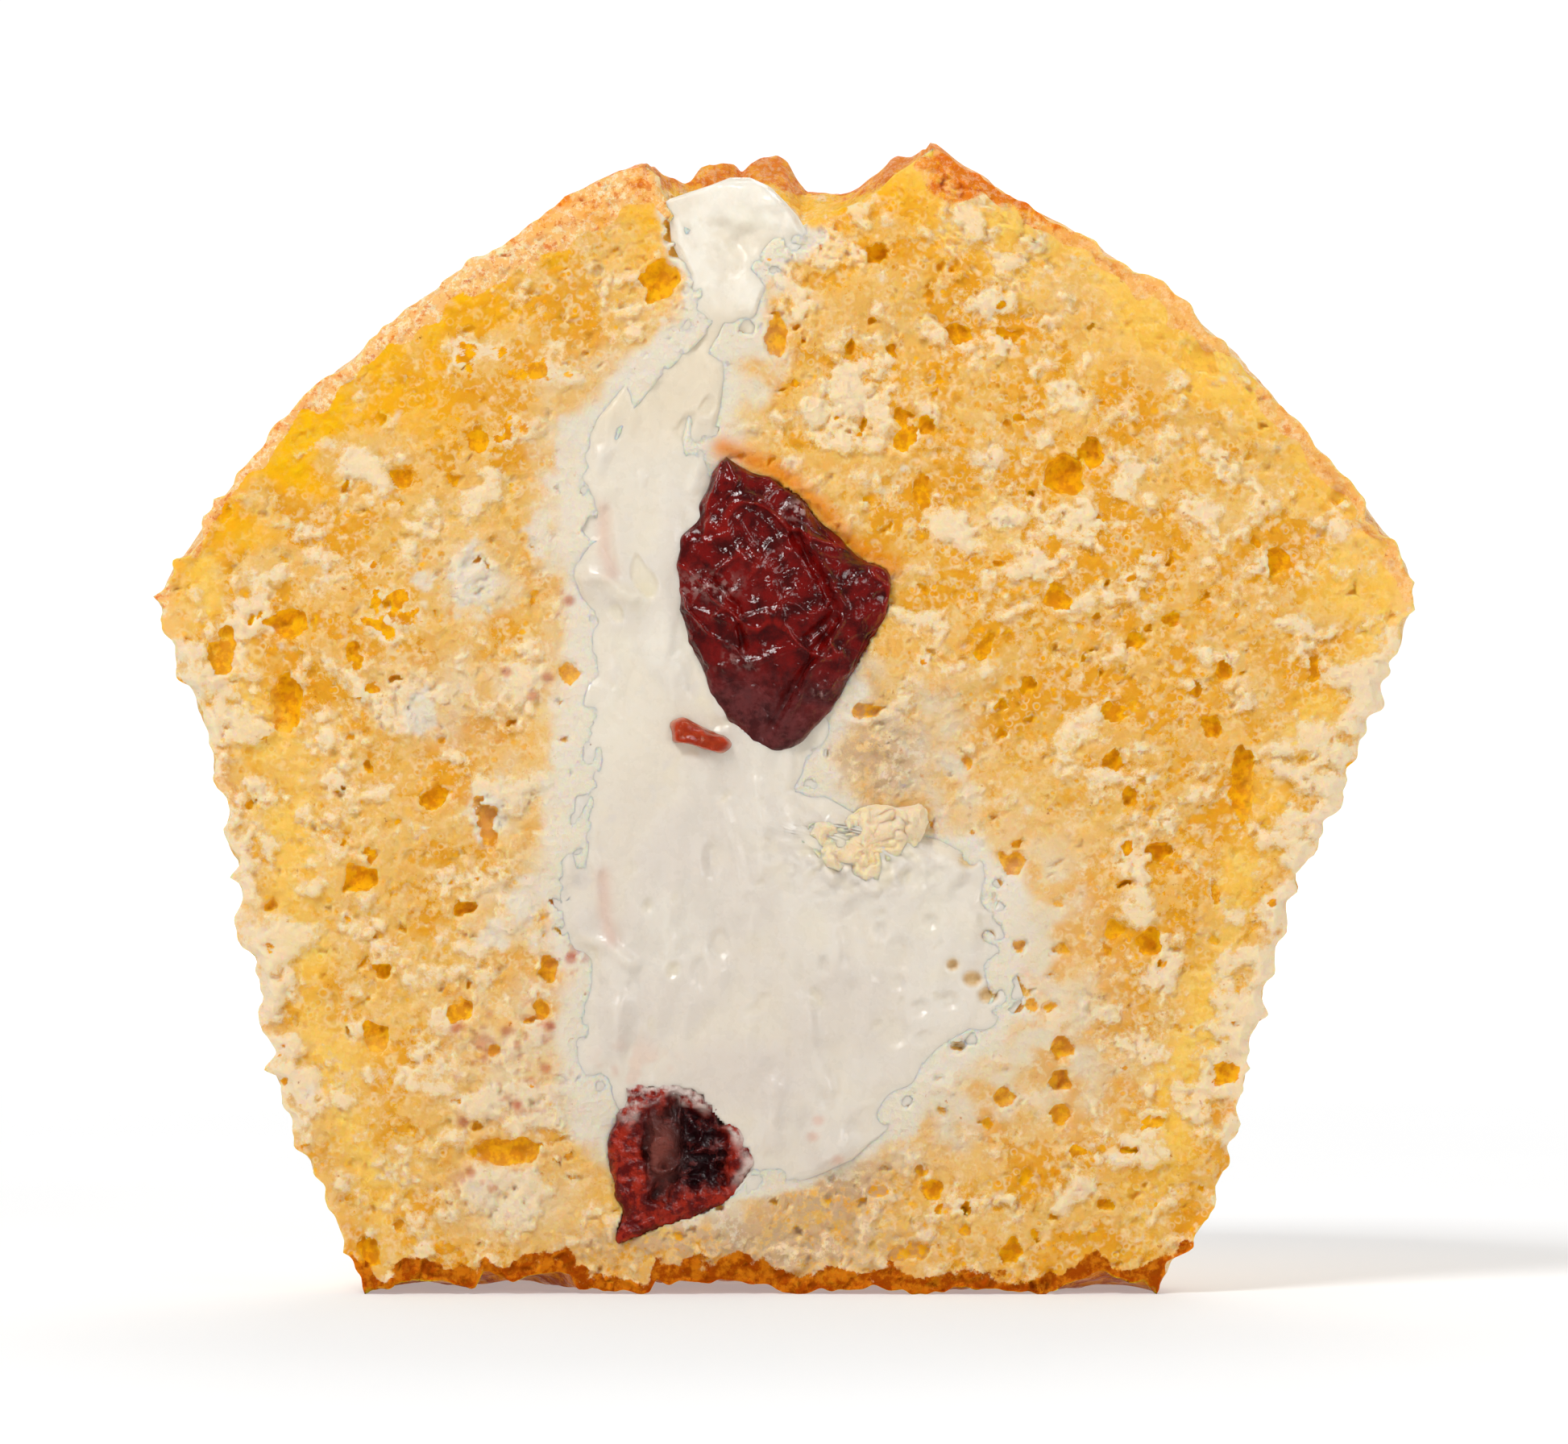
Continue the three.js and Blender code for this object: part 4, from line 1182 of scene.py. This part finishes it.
for line, wide, tall in FOLDS:
    for down in (0, FOLD_STEP):
        cream_relief += tall * stroke([(x, z - down) for x, z in line], wide)
for line, wide, tall in LONG_FOLDS:
    cream_relief += tall * stroke(line, wide)
for x, z, half_x, half_z in DENTS:
    cream_relief -= 0.22 * dab(x, z, half_x, half_z)
lumpy = dab(-1.6, 59.2, 2.4, 2, 1.4)
cream_relief += plug * (0.4 + 0.16 * cloud(76, 3.2) + lumpy * (0.14 * cloud(77, 0.9) - 0.15))
print(f"the cream stands out by up to {cream_relief[inside_cream > 0].max():.1f} mm")

# %% The cream's edge
neck = smooth(45.5, 49, FACE_Z)
from_edge = inside_cream + 0.5 * cloud(80, 2.2) * (1 - 0.6 * neck) + 0.1 * cloud(88, 0.7) + 0.9 * neck
cover = smooth(-0.3, 3.0 - 1.2 * neck, from_edge) * smooth(0, 0.5, inside_cream)
over_crumb = np.maximum(cream_relief, blur(face_relief, 0.8) + 0.12 * (1 - neck))
over_crumb = over_crumb + neck * (cream_relief - over_crumb)
cream_relief = cover * over_crumb + (1 - cover) * (blur(face_relief, 0.6) - 0.08)
cream_relief -= 0.4 * tan_pores
thin = 1 - smooth(0.0, 0.4, cream_relief - face_relief)
lower_x, lower_z = LOWER_CHERRY["middle"]
upper_right = smooth(-1.5, 1.5, FACE_Z - lower_z + 0.6 * (FACE_X - lower_x))
over_lower = 0.93 - 0.12 * upper_right * smooth(-0.6, 0.9, cloud(45, 1.1))
for reach, open_to in ((reach_upper, 0.93), (reach_lower, over_lower)):
    bowl = -0.3 - 2.2 * np.sqrt(np.clip(1 - reach**2, 0, 1))
    cream_relief = np.where(reach < open_to, np.minimum(cream_relief, bowl), cream_relief)
print(f"it is thin over {(thin * (inside_cream > 0)).sum() * PITCH**2:.0f} square mm")

# %% Shades in the cream
vein_lines = [[(x, z - down) for x, z in line] for line in VEINS for down in (0, FOLD_STEP)]
veins = 0.6 * most(stroke(line, 0.42) for line in vein_lines)
pink_speckles = dab(-8.4, 12.6, 2.2, 1.6) * smooth(0, 1.4, cloud(78, 0.7))
pink = np.clip(0.8 * veins + 0.6 * spots + 0.35 * pink_speckles, 0, 1)
yellowed = 0.35 * smooth(0.5, 2, cloud(79, 1.8)) * (1 - plug)
yellowed += 0.45 * dab(-2, 58.9, 1.4, 1.3, 1.6) + 0.7 * dimples
yellowed = np.maximum(yellowed, crumbly * smooth(-0.6, 1.2, cloud(48, 1.0)))
grey = np.maximum(dab(-2.6, 12.2, 4, 2.2, 1.4), 0.3 * (1 - smooth(24, 31, FACE_Z)))
buttery = smooth(46, 50, FACE_Z) * (1 - smooth(53.5, 56, FACE_Z)) + 0.5 * dab(-13, 42, 2.6, 6, 1.4)
# The plug at the top of the cream is tinted whiter than the rest.
CREAM_MAPS = {
    "thin": thin, "pink": pink, "yellowed": yellowed, "grey": grey, "fresh": plug,
    "buttery": buttery, "tan_pore": tan_pores,
}
print("the cream stores", ", ".join(CREAM_MAPS))

# %% The front of the cream
CREAM_MAP_SIDE = 62.0
CREAM_FRONT_CORNER, CREAM_BACK_CORNER, CREAM_BACK_SIDE = (15, -4), (32, -4), 28
CREAM_ROWS = even((cream_top - cream_foot) / CELL)
CREAM_TURNS = even(24 / CELL) // 2
rows_z = np.linspace(cream_foot, cream_top, CREAM_ROWS + 1)
rows_left, rows_right = at_height(CREAM_LEFT, rows_z), at_height(CREAM_RIGHT, rows_z)
rows_deep = at_height(CREAM_DEPTH, rows_z)
part = 0.5 - 0.5 * np.cos(np.linspace(0, math.pi, 2 * CREAM_TURNS + 1))
part = 0.5 * part + 0.5 * np.linspace(0, 1, 2 * CREAM_TURNS + 1)
cream_x = rows_left[:, None] * (1 - part) + rows_right[:, None] * part
cream_z = rows_z[:, None] * np.ones_like(cream_x)
front = np.stack([cream_x, -sample(cream_relief, cream_x, cream_z), cream_z], axis=-1)
shell = Shell()
front_numbers = shell.add(front + at_cut, **{k: sample(v, cream_x, cream_z) for k, v in CREAM_MAPS.items()})
front_places = (np.stack([cream_x, cream_z], axis=-1) + CREAM_FRONT_CORNER) / CREAM_MAP_SIDE
print("the cream's front has", shell.count, "points")

# %% The cream behind the cut
turn = math.pi * np.linspace(0, 1, CREAM_TURNS + 1)[None, 1:-1]
half = (rows_right - rows_left)[::2, None] / 2
behind_x = (rows_right + rows_left)[::2, None] / 2 + np.maximum(half - 1.4, 0.6 * half) * np.cos(turn)
behind_y = 1.5 + np.maximum(rows_deep[::2, None] - 1.5, 0.3) * np.sin(turn)
behind = np.stack(np.broadcast_arrays(behind_x, behind_y, rows_z[::2, None]), axis=-1)
behind_numbers = shell.add(behind + at_cut)
behind_numbers = np.hstack([front_numbers[::2, -1:], behind_numbers, front_numbers[::2, :1]])
behind_u = CREAM_BACK_CORNER[0] + CREAM_BACK_SIDE * np.linspace(0, 1, CREAM_TURNS + 1)
behind_v = rows_z[::2] + CREAM_BACK_CORNER[1]
behind_places = np.stack(np.broadcast_arrays(behind_u[None, :], behind_v[:, None]), axis=-1) / CREAM_MAP_SIDE
print("with its back it has", shell.count, "points")

# %% Faces of the cream
shell.grid(front_numbers, front_places)
shell.grid(behind_numbers[:, 1:-1], behind_places[:, 1:-1])
for edge, inside, flip in ((-1, 1, True), (0, -2, False)):
    side_u = behind_places[0, 0 if flip else -1, 0]
    side_v = (rows_z + CREAM_BACK_CORNER[1]) / CREAM_MAP_SIDE
    side = np.stack([np.full(CREAM_ROWS + 1, side_u), side_v], axis=-1)
    shell.zip(front_numbers[:, edge], behind_numbers[:, inside], side, behind_places[:, inside], 0, flip)
for row, flip in ((0, False), (-1, True)):
    loop_f, loop_b = front_numbers[row], behind_numbers[row][::-1]
    places_b = behind_places[row][::-1]
    side_u = np.linspace(places_b[0, 0], places_b[-1, 0], len(loop_f))
    side = np.stack([side_u, np.full(len(loop_f), places_b[0, 1])], axis=-1)
    shell.zip(loop_f, loop_b, side, places_b, 0, not flip)
print("and", len(shell.faces), "faces")

# %% Whipped cream
CREAM_LIGHT, CREAM_SHADE = (0.81, 0.75, 0.65), (0.76, 0.69, 0.6)
CREAM_TINTS = [
    ("fresh", (0.91, 0.85, 0.74), 0.9),
    ("yellowed", (0.84, 0.75, 0.52), 0.6),
    ("thin", (0.81, 0.73, 0.6), 0.8),
    ("buttery", (0.8, 0.69, 0.52), 0.75),
    ("tan_pore", (0.8, 0.5, 0.14), 0.85),
    ("grey", (0.68, 0.6, 0.56), 0.5),
    ("pink", (0.72, 0.38, 0.28), 0.7),
]
whipped = Finish("whipped_cream", Roughness=0.38, Specular_IOR_Level=0.35, Subsurface_Weight=0.6,
                 Subsurface_Scale=0.6 * MM)
whipped.shader.inputs["Subsurface Radius"].default_value = (0.8, 0.7, 0.6)
colour = whipped.tint(CREAM_LIGHT, CREAM_SHADE, whipped.between(whipped.noise(5, 3), 0.35, 0.65))
for name, shade, part in CREAM_TINTS:
    colour = whipped.tint(colour, shade, whipped.share(name, part))
whipped.colour(colour)
whipped.rough(whipped.between(whipped.noise(0.9, 3), 0.3, 0.7, 0.18, 0.42))
whipped.bump((whipped.noise(1.4, 3), 0.08), (whipped.noise(0.35, 2), 0.015))
cream = shell.make("cream", [whipped.material])
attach(cream, "root")
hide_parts("cream_filling")

# %% [markdown]
# ## The cherries
# A dried cherry is a dark skin that shrank over a sticky middle, so it is all folds. A round body is drawn
# from the fruit's outline. Its few large folds are drawn one by one, and bent noise adds thin wrinkles along
# and across them. The gloss does the rest: each fold catches its own thin line of light.

# %% Build a fruit
def fruit_shell(fruit, around_count, rings, shape, **values):
    """A closed body round a fruit's outline. shape moves its points and returns the values to store."""
    rim = curve_through([*fruit["outline"], fruit["outline"][0]], around_count + 1)
    part = np.linspace(0, 1, 2 * rings + 1)
    latitude = math.pi * (part - 0.5)
    reach = np.cos(latitude)[:, None] ** 0.62
    deep = np.where(latitude < 0, fruit["back"], fruit["front"]) * -np.sin(latitude)
    unit = np.stack(
        np.broadcast_arrays(rim[None, :, 0] * reach, deep[:, None], rim[None, :, 1] * reach), axis=-1
    )
    points = unit + (fruit["middle"][0], 0, fruit["middle"][1])
    points, stored = shape(points, reach, latitude[:, None])
    points[:, -1] = points[:, 0]
    points[0], points[-1] = points[0].mean(axis=0), points[-1].mean(axis=0)
    body = Shell()
    numbers = body.add(points[1:-1, :-1] + at_cut, **{k: v[1:-1, :-1] for k, v in stored.items()})
    poles = body.add(points[[0, -1], 0] + at_cut, **{k: v[[0, -1], 0] for k, v in stored.items()})
    numbers = np.hstack([numbers, numbers[:, :1]])
    numbers = np.vstack([np.full(numbers.shape[1], poles[0]), numbers, np.full(numbers.shape[1], poles[1])])
    rim_turn = np.linspace(0, 2 * math.pi, around_count + 1)[None, :]
    spread = np.where(part < 0.5, part, 1 - part)[:, None] * 0.92
    middle_u = np.where(part < 0.5, 0.25, 0.75)[:, None]
    flip_u = np.where(part < 0.5, -1, 1)[:, None]
    u = middle_u + 0.5 * spread * np.cos(rim_turn) * flip_u
    v = 0.5 + spread * np.sin(rim_turn)
    places = np.stack([u, v * np.ones_like(u)], axis=-1)
    half_way = rings + 1
    body.grid(numbers[:half_way], places[:half_way], flip=True)
    seam = places[rings : rings + 1].copy()
    seam[..., 0] = 0.75 + 0.5 * 0.46 * np.cos(rim_turn)
    body.grid(numbers[rings:], np.vstack([seam, places[half_way:]]), flip=True)
    return body


print("the cherries are", UPPER_CHERRY["back"], "and", LOWER_CHERRY["back"], "mm deep behind the cut")

# %% The upper cherry
CREASE_LINES = [
    [(0.3, 43), (1.3, 40.9), (2.8, 38.1), (1.3, 36.7)],
    [(2.8, 37.8), (0.5, 34), (-1, 31.2)],
    [(-4.6, 40.6), (-2.6, 38.4), (-2.2, 36)],
]
RIDGE_LINES = [
    [(0.9, 43), (1.9, 40.9), (3.4, 38.4)],
    [(-2.1, 40.7), (-1, 41.4), (0, 42.5)],
    [(-1.4, 38.5), (-0.4, 39.6), (0.4, 40.1)],
    [(-5, 38.2), (-3, 37.4), (-1.2, 38), (1, 37.6)],
    [(-3.6, 35), (-1.4, 35.4), (0.8, 36.1)],
    [(3.2, 37.6), (1.1, 34), (-0.4, 31.3)],
]
drawn_folds = 0.24 * most(stroke(line, 0.2) for line in RIDGE_LINES)
drawn_folds -= 0.42 * most(stroke(line, 0.26) for line in CREASE_LINES)


def wrinkle_upper(points, reach, latitude):
    """Pulls the skin into folds, tight above and slack below, with bits of crumb stuck to it."""
    at_front = smooth(-0.1, 0.5, latitude)
    z = points[..., 2]
    bent = points + 0.6 * np.stack([grain(s, points, 3.2) for s in (81, 82, 83)], axis=-1)
    along, over = (bent[..., 0] - bent[..., 2]) * 0.7, (bent[..., 0] + bent[..., 2]) * 0.7
    slanted = np.stack([along * 0.4, bent[..., 1], over], axis=-1)
    crossed = np.stack([along, bent[..., 1], over * 0.5], axis=-1)
    facets = 0.34 * grain(84, bent, 4.2) + 0.16 * creases(85, slanted, 2.2)
    long_lines = np.exp(-((grain(89, slanted, 1.7) / 0.07) ** 2))
    short_lines = np.exp(-((grain(88, crossed, 1.3) / 0.08) ** 2))
    uneven = z + 1.5 * grain(72, points, 2.4)
    tight = 0.25 + 0.75 * smooth(33.5, 37, uneven)
    thin_lines = np.exp(-((grain(101, slanted * (1.2, 1, 1), 0.9) / 0.13) ** 2))
    wrinkles = 0.24 * long_lines + 0.17 * short_lines + 0.1 * thin_lines + 0.07 * grain(86, bent, 0.6)
    lift = facets + tight * wrinkles - 0.23
    lift += sample(drawn_folds, points[..., 0], z) * (1 - reach**6)
    stuck = np.exp(-(((points[..., 0] - 0.8) / 0.6) ** 2) - ((z - 43.6) / 0.5) ** 2)
    stuck = np.maximum(stuck, np.exp(-(((points[..., 0] - 1.9) / 0.25) ** 2) - ((z - 33.7) / 0.25) ** 2))
    lift += stuck * (0.35 + 0.3 * grain(60, points, 0.4))
    points = points.copy()
    points[..., 1] -= lift * at_front * (0.35 + 0.65 * np.sqrt(1 - reach**4))
    centre = np.array([UPPER_CHERRY["middle"][0], 0, UPPER_CHERRY["middle"][1]])
    out = points - centre
    out[..., 1] = 0
    ragged_rim = 0.16 * creases(90, points, 1.5) + 0.08 * grain(87, points, 0.6)
    points += out / (np.linalg.norm(out, axis=-1, keepdims=True) + 0.01) * ragged_rim[..., None]
    # Painted glow: the ridges are painted redder where light shines through the thin skin, and a painted
    # bright patch sits low on the right.
    ridge = np.clip(0.8 * long_lines + 0.5 * short_lines + 0.35 * thin_lines, 0, 1) * tight
    ridge = np.maximum(ridge, 1.3 * np.exp(-(((points[..., 0] - 1.5) / 1.1) ** 2) - ((z - 32.3) / 0.9) ** 2))
    # Lower down the skin is duller, and its purple there is a painted sheen of reflected light.
    dull = (1 - smooth(31.5, 36.5, uneven)) * np.ones(points.shape[:2])
    smear = np.exp(-(((points[..., 0] + 4.4) / 1.7) ** 2) - ((z - 39.5) / 0.6) ** 2)
    dusty = np.maximum(smooth(0.5, 0.9, grain(87, points, 1.6)), 1.4 * smear)
    dusty = np.maximum(dusty, 2.2 * stuck)
    return points, {"ridge": ridge * np.ones(points.shape[:2]), "dusty": dusty, "dull": dull}


upper_shell = fruit_shell(UPPER_CHERRY, even(46 / CELL), round(11 / CELL), wrinkle_upper)
print("the upper cherry has", upper_shell.count, "points")

# %% The cherry's skin
# The third red is a painted glow of light through the thin skin on the ridges.
SKIN_BLACK, SKIN_RED, RIDGE_GLOW_RED = (0.05, 0.001, 0.001), (0.17, 0.003, 0.002), (0.3, 0.008, 0.004)
# The lower skin's two colours are a painted sheen of reflected light.
SHEEN_DARK, SHEEN_PURPLE, DUST = (0.05, 0.006, 0.006), (0.13, 0.028, 0.028), (0.36, 0.2, 0.18)
skin_dark = Finish("cherry_skin", Roughness=0.15, Specular_IOR_Level=0.4, Coat_Weight=0.35,
                   Coat_Roughness=0.06)
mottled = skin_dark.between(skin_dark.noise(1.1, 4, 0.6), 0.34, 0.64)
colour = skin_dark.tint(SKIN_BLACK, SKIN_RED, mottled)
# Painted glow on the ridges, and the painted bright patch.
glowing_ridges = skin_dark.between(skin_dark.stored("ridge"), 0.3, 0.95, 0.0, 0.6)
colour = skin_dark.tint(colour, RIDGE_GLOW_RED, glowing_ridges)
# Below, a painted sheen over the duller skin: purple standing in for reflected light.
clouded = skin_dark.between(skin_dark.noise(0.7, 4, 0.7), 0.4, 0.6)
dull = skin_dark.tint(SHEEN_DARK, SHEEN_PURPLE, clouded)
colour = skin_dark.tint(colour, dull, skin_dark.share("dull", 0.75))
dust = skin_dark.between(skin_dark.noise(0.4, 3), 0.45, 0.62, 0.0, 0.6)
colour = skin_dark.tint(colour, DUST, skin_dark.share("dusty", dust))
skin_dark.colour(colour)
skin_dark.rough(skin_dark.between(skin_dark.stored("dull"), 0.2, 0.9, 0.1, 0.3))
skin_dark.bump(
    (skin_dark.cells(1.1, "DISTANCE_TO_EDGE", bent=0.5), -0.14),
    (skin_dark.cells(0.55, "DISTANCE_TO_EDGE", bent=0.3), -0.07),
    (skin_dark.noise(0.5, 4, 0.65), 0.05),
)
upper = upper_shell.make("upper_cherry_fruit", [skin_dark.material])
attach(upper, "root")
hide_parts("upper_cherry")

# %% [markdown]
# ## The torn cherry
# The knife opened the lower cherry. Its skin is left as a red rim on the left and below, round a dark wet
# middle with a flap of flesh in it, and cream has smeared across the top.

# %% The lower cherry
def tear_lower(points, reach, latitude):
    """Opens the front into rough pulp with a flap in it, inside a rim of skin."""
    x = points[..., 0] - LOWER_CHERRY["middle"][0]
    z = points[..., 2] - LOWER_CHERRY["middle"][1]
    at_front = smooth(-0.05, 0.4, latitude)
    from_middle = reach + 0.2 * grain(91, points, 1.2) + 0.2 * smooth(-0.5, 2, -z - 0.4 * x)
    middle_part = 1 - smooth(0.55, 0.9, from_middle)
    torn = 0.5 * creases(92, points, 1.1) + 0.4 * creases(93, points, 0.55)
    flap = np.exp(-(((x + 1.1) / 0.75) ** 2)) * np.exp(-(((z - 0.6) / 1.7) ** 2))
    points = points.copy()
    points[..., 1] -= at_front * (torn * (0.3 + 0.7 * middle_part) - 1.0 * middle_part + 1.1 * flap)
    upper_right = smooth(-0.2, 1.6, z + 0.6 * x + 0.4 * grain(94, points, 1.2))
    out = np.stack([x, 0 * x, z], axis=-1)
    rim = 0.22 * grain(50, points, 0.9) + 0.1 * creases(49, points, 0.5) - 0.05
    points += out / (np.linalg.norm(out, axis=-1, keepdims=True) + 0.1) * rim[..., None]
    white = smooth(0.68, 0.92, reach + 0.16 * grain(79, points, 0.9)) * upper_right
    stored = {"open": middle_part * at_front, "flap": flap, "white": white}
    return points, {k: v * np.ones(points.shape[:2]) for k, v in stored.items()}


lower_shell = fruit_shell(LOWER_CHERRY, even(30 / CELL), round(7 / CELL), tear_lower)
print("the lower cherry has", lower_shell.count, "points")

# %% Torn flesh
BRICK_DARK, BRICK_RED, FLAP_RED = (0.12, 0.004, 0.003), (0.36, 0.02, 0.006), (0.3, 0.08, 0.06)
PULP_BLACK, PULP_PURPLE, CREAM_SMEAR = (0.016, 0.002, 0.003), (0.11, 0.016, 0.014), (0.68, 0.56, 0.5)
flesh = Finish("cherry_flesh_torn", Roughness=0.2, Specular_IOR_Level=0.35)
blotchy = flesh.between(flesh.noise(0.7, 4, 0.65), 0.42, 0.62)
colour = flesh.tint(BRICK_DARK, BRICK_RED, blotchy)
pulp = flesh.tint(PULP_BLACK, PULP_PURPLE, flesh.between(flesh.noise(0.7, 4, 0.7), 0.5, 0.66))
colour = flesh.tint(colour, pulp, flesh.stored("open"))
colour = flesh.tint(colour, FLAP_RED, flesh.share("flap", 0.8))
smeared = flesh.between(flesh.noise(0.8, 3), 0.36, 0.56, 0.0, 0.9)
colour = flesh.tint(colour, CREAM_SMEAR, flesh.share("white", smeared))
flesh.colour(colour)
flesh.bump((flesh.noise(0.6, 4, 0.6), 0.25), (flesh.noise(0.2, 2), 0.04))
lower = lower_shell.make("lower_cherry_fruit", [flesh.material])
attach(lower, "root")
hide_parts("lower_cherry")

# %% [markdown]
# ## The sliver and the loose crumb
# A strip of cherry skin lies on the cream under the upper cherry, thin enough to let light through. To its
# right a torn scrap of sponge, wet with cream, is stuck in the cream.

# %% The sliver
SLIVER = {
    "middle": (-4.7, 31.1),
    "outline": [
        (-1.7, 0.2), (-1.65, 0.85), (-1, 1.05), (-0.2, 0.75), (0.8, 0.35), (1.6, -0.05), (1.85, -0.6),
        (1.3, -1.0), (0.5, -0.8), (-0.6, -0.45), (-1.5, -0.25),
    ],
    "front": 1.2,
    "back": 0.7,
}


def wrinkle_sliver(points, reach, latitude):
    """Creases the strip along its length."""
    lift = 0.34 * creases(95, points * (0.6, 1, 1), 0.8) + 0.12 * grain(99, points, 0.4)
    points = points.copy()
    points[..., 1] -= lift * smooth(-0.1, 0.4, latitude)
    points[..., 2] += 0.1 * grain(98, points, 0.7) * reach
    thin_rim = smooth(0.78, 0.97, reach) * np.ones(points.shape[:2])
    return points, {"ridge": 0.5 + 0.5 * creases(96, points * (0.4, 1, 1), 0.5), "thin_rim": thin_rim}


sliver_shell = fruit_shell(SLIVER, 96, 20, wrinkle_sliver)
PEEL_RED, PEEL_ORANGE = (0.22, 0.008, 0.003), (0.44, 0.05, 0.012)
PEEL_PALE, PEEL_RIM = (0.72, 0.36, 0.24), (0.72, 0.4, 0.28)
peel = Finish("cherry_peel", Roughness=0.15, Specular_IOR_Level=0.3, Subsurface_Weight=0.5,
              Subsurface_Scale=0.8 * MM)
# Orange along the creases is a painted glow of light through the thin peel.
colour = peel.tint(PEEL_RED, PEEL_ORANGE, peel.stored("ridge"))
colour = peel.tint(colour, PEEL_PALE, peel.between(peel.noise(0.4, 3), 0.6, 0.75, 0.0, 0.5))
peel.colour(peel.tint(colour, PEEL_RIM, peel.share("thin_rim", 0.6)))
peel.bump((peel.noise(0.35, 3), 0.1), (peel.noise(0.12, 2), 0.02))
sliver = sliver_shell.make("sliver_of_cherry", [peel.material])
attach(sliver, "root")
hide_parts("cherry_sliver")

# %% The loose crumb
TORN_CRUMB = {
    "middle": (4.5, 24.9),
    "outline": [
        (-3.5, 0.5), (-2.8, 1.5), (-1.2, 1.4), (0.4, 2.3), (2, 2.1), (3.3, 2.3), (3.3, 0.8), (2.3, -0.4),
        (1.2, -0.8), (0.6, -2), (-0.8, -1.4), (-2.2, -1.1),
    ],
    "front": 0.6,
    "back": 1.1,
}


def crumble(points, reach, latitude):
    """Breaks the scrap up into lumps, with a yolk-yellow middle."""
    at_front = smooth(-0.1, 0.4, latitude)
    lumps = 0.3 * grain(97, points, 1.5) + 0.75 * np.abs(grain(98, points, 0.9))
    lumps += 0.45 * np.abs(grain(99, points, 0.45)) - 0.02
    points = points.copy()
    points[..., 1] -= at_front * lumps
    out = points - (TORN_CRUMB["middle"][0], 0, TORN_CRUMB["middle"][1])
    out[..., 1] = 0
    ragged_rim = 0.3 * grain(61, points, 1.0) + 0.22 * creases(62, points, 0.7)
    points += out / (np.linalg.norm(out, axis=-1, keepdims=True) + 0.2) * ragged_rim[..., None]
    depth = np.clip(0.45 - 0.8 * lumps, 0, 1)
    x = points[..., 0] - TORN_CRUMB["middle"][0]
    z = points[..., 2] - TORN_CRUMB["middle"][1]
    yolk = np.exp(-(((x - 0.6) / 1.6) ** 2) - ((z + 0.1) / 0.8) ** 2)
    # High lumps get the sponge's painted light, and low ones a little of its painted pore glow.
    stored = {"hollow": 0.12 * depth, "level": 1.2 * lumps + 1.2, "warm": 0.5 * depth}
    stored["soak"] = 0.45 * (1 - yolk)
    stored["gold"] = 0.3 * yolk
    return points, stored


torn_shell = fruit_shell(TORN_CRUMB, even(24 / CELL), round(5 / CELL), crumble)
torn = torn_shell.make("loose_crumb", [sponge.material])
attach(torn, "root")
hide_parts("torn_crumb")

# %% [markdown]
# ## The size
# The box of the plain solids and the box of these pieces are printed side by side.

# %% Print both boxes
new_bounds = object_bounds()
for name, cad, now in zip(("low", "high"), cad_bounds, new_bounds):
    print(name, "CAD", [round(c / MM, 2) for c in cad], "now", [round(c / MM, 2) for c in now])
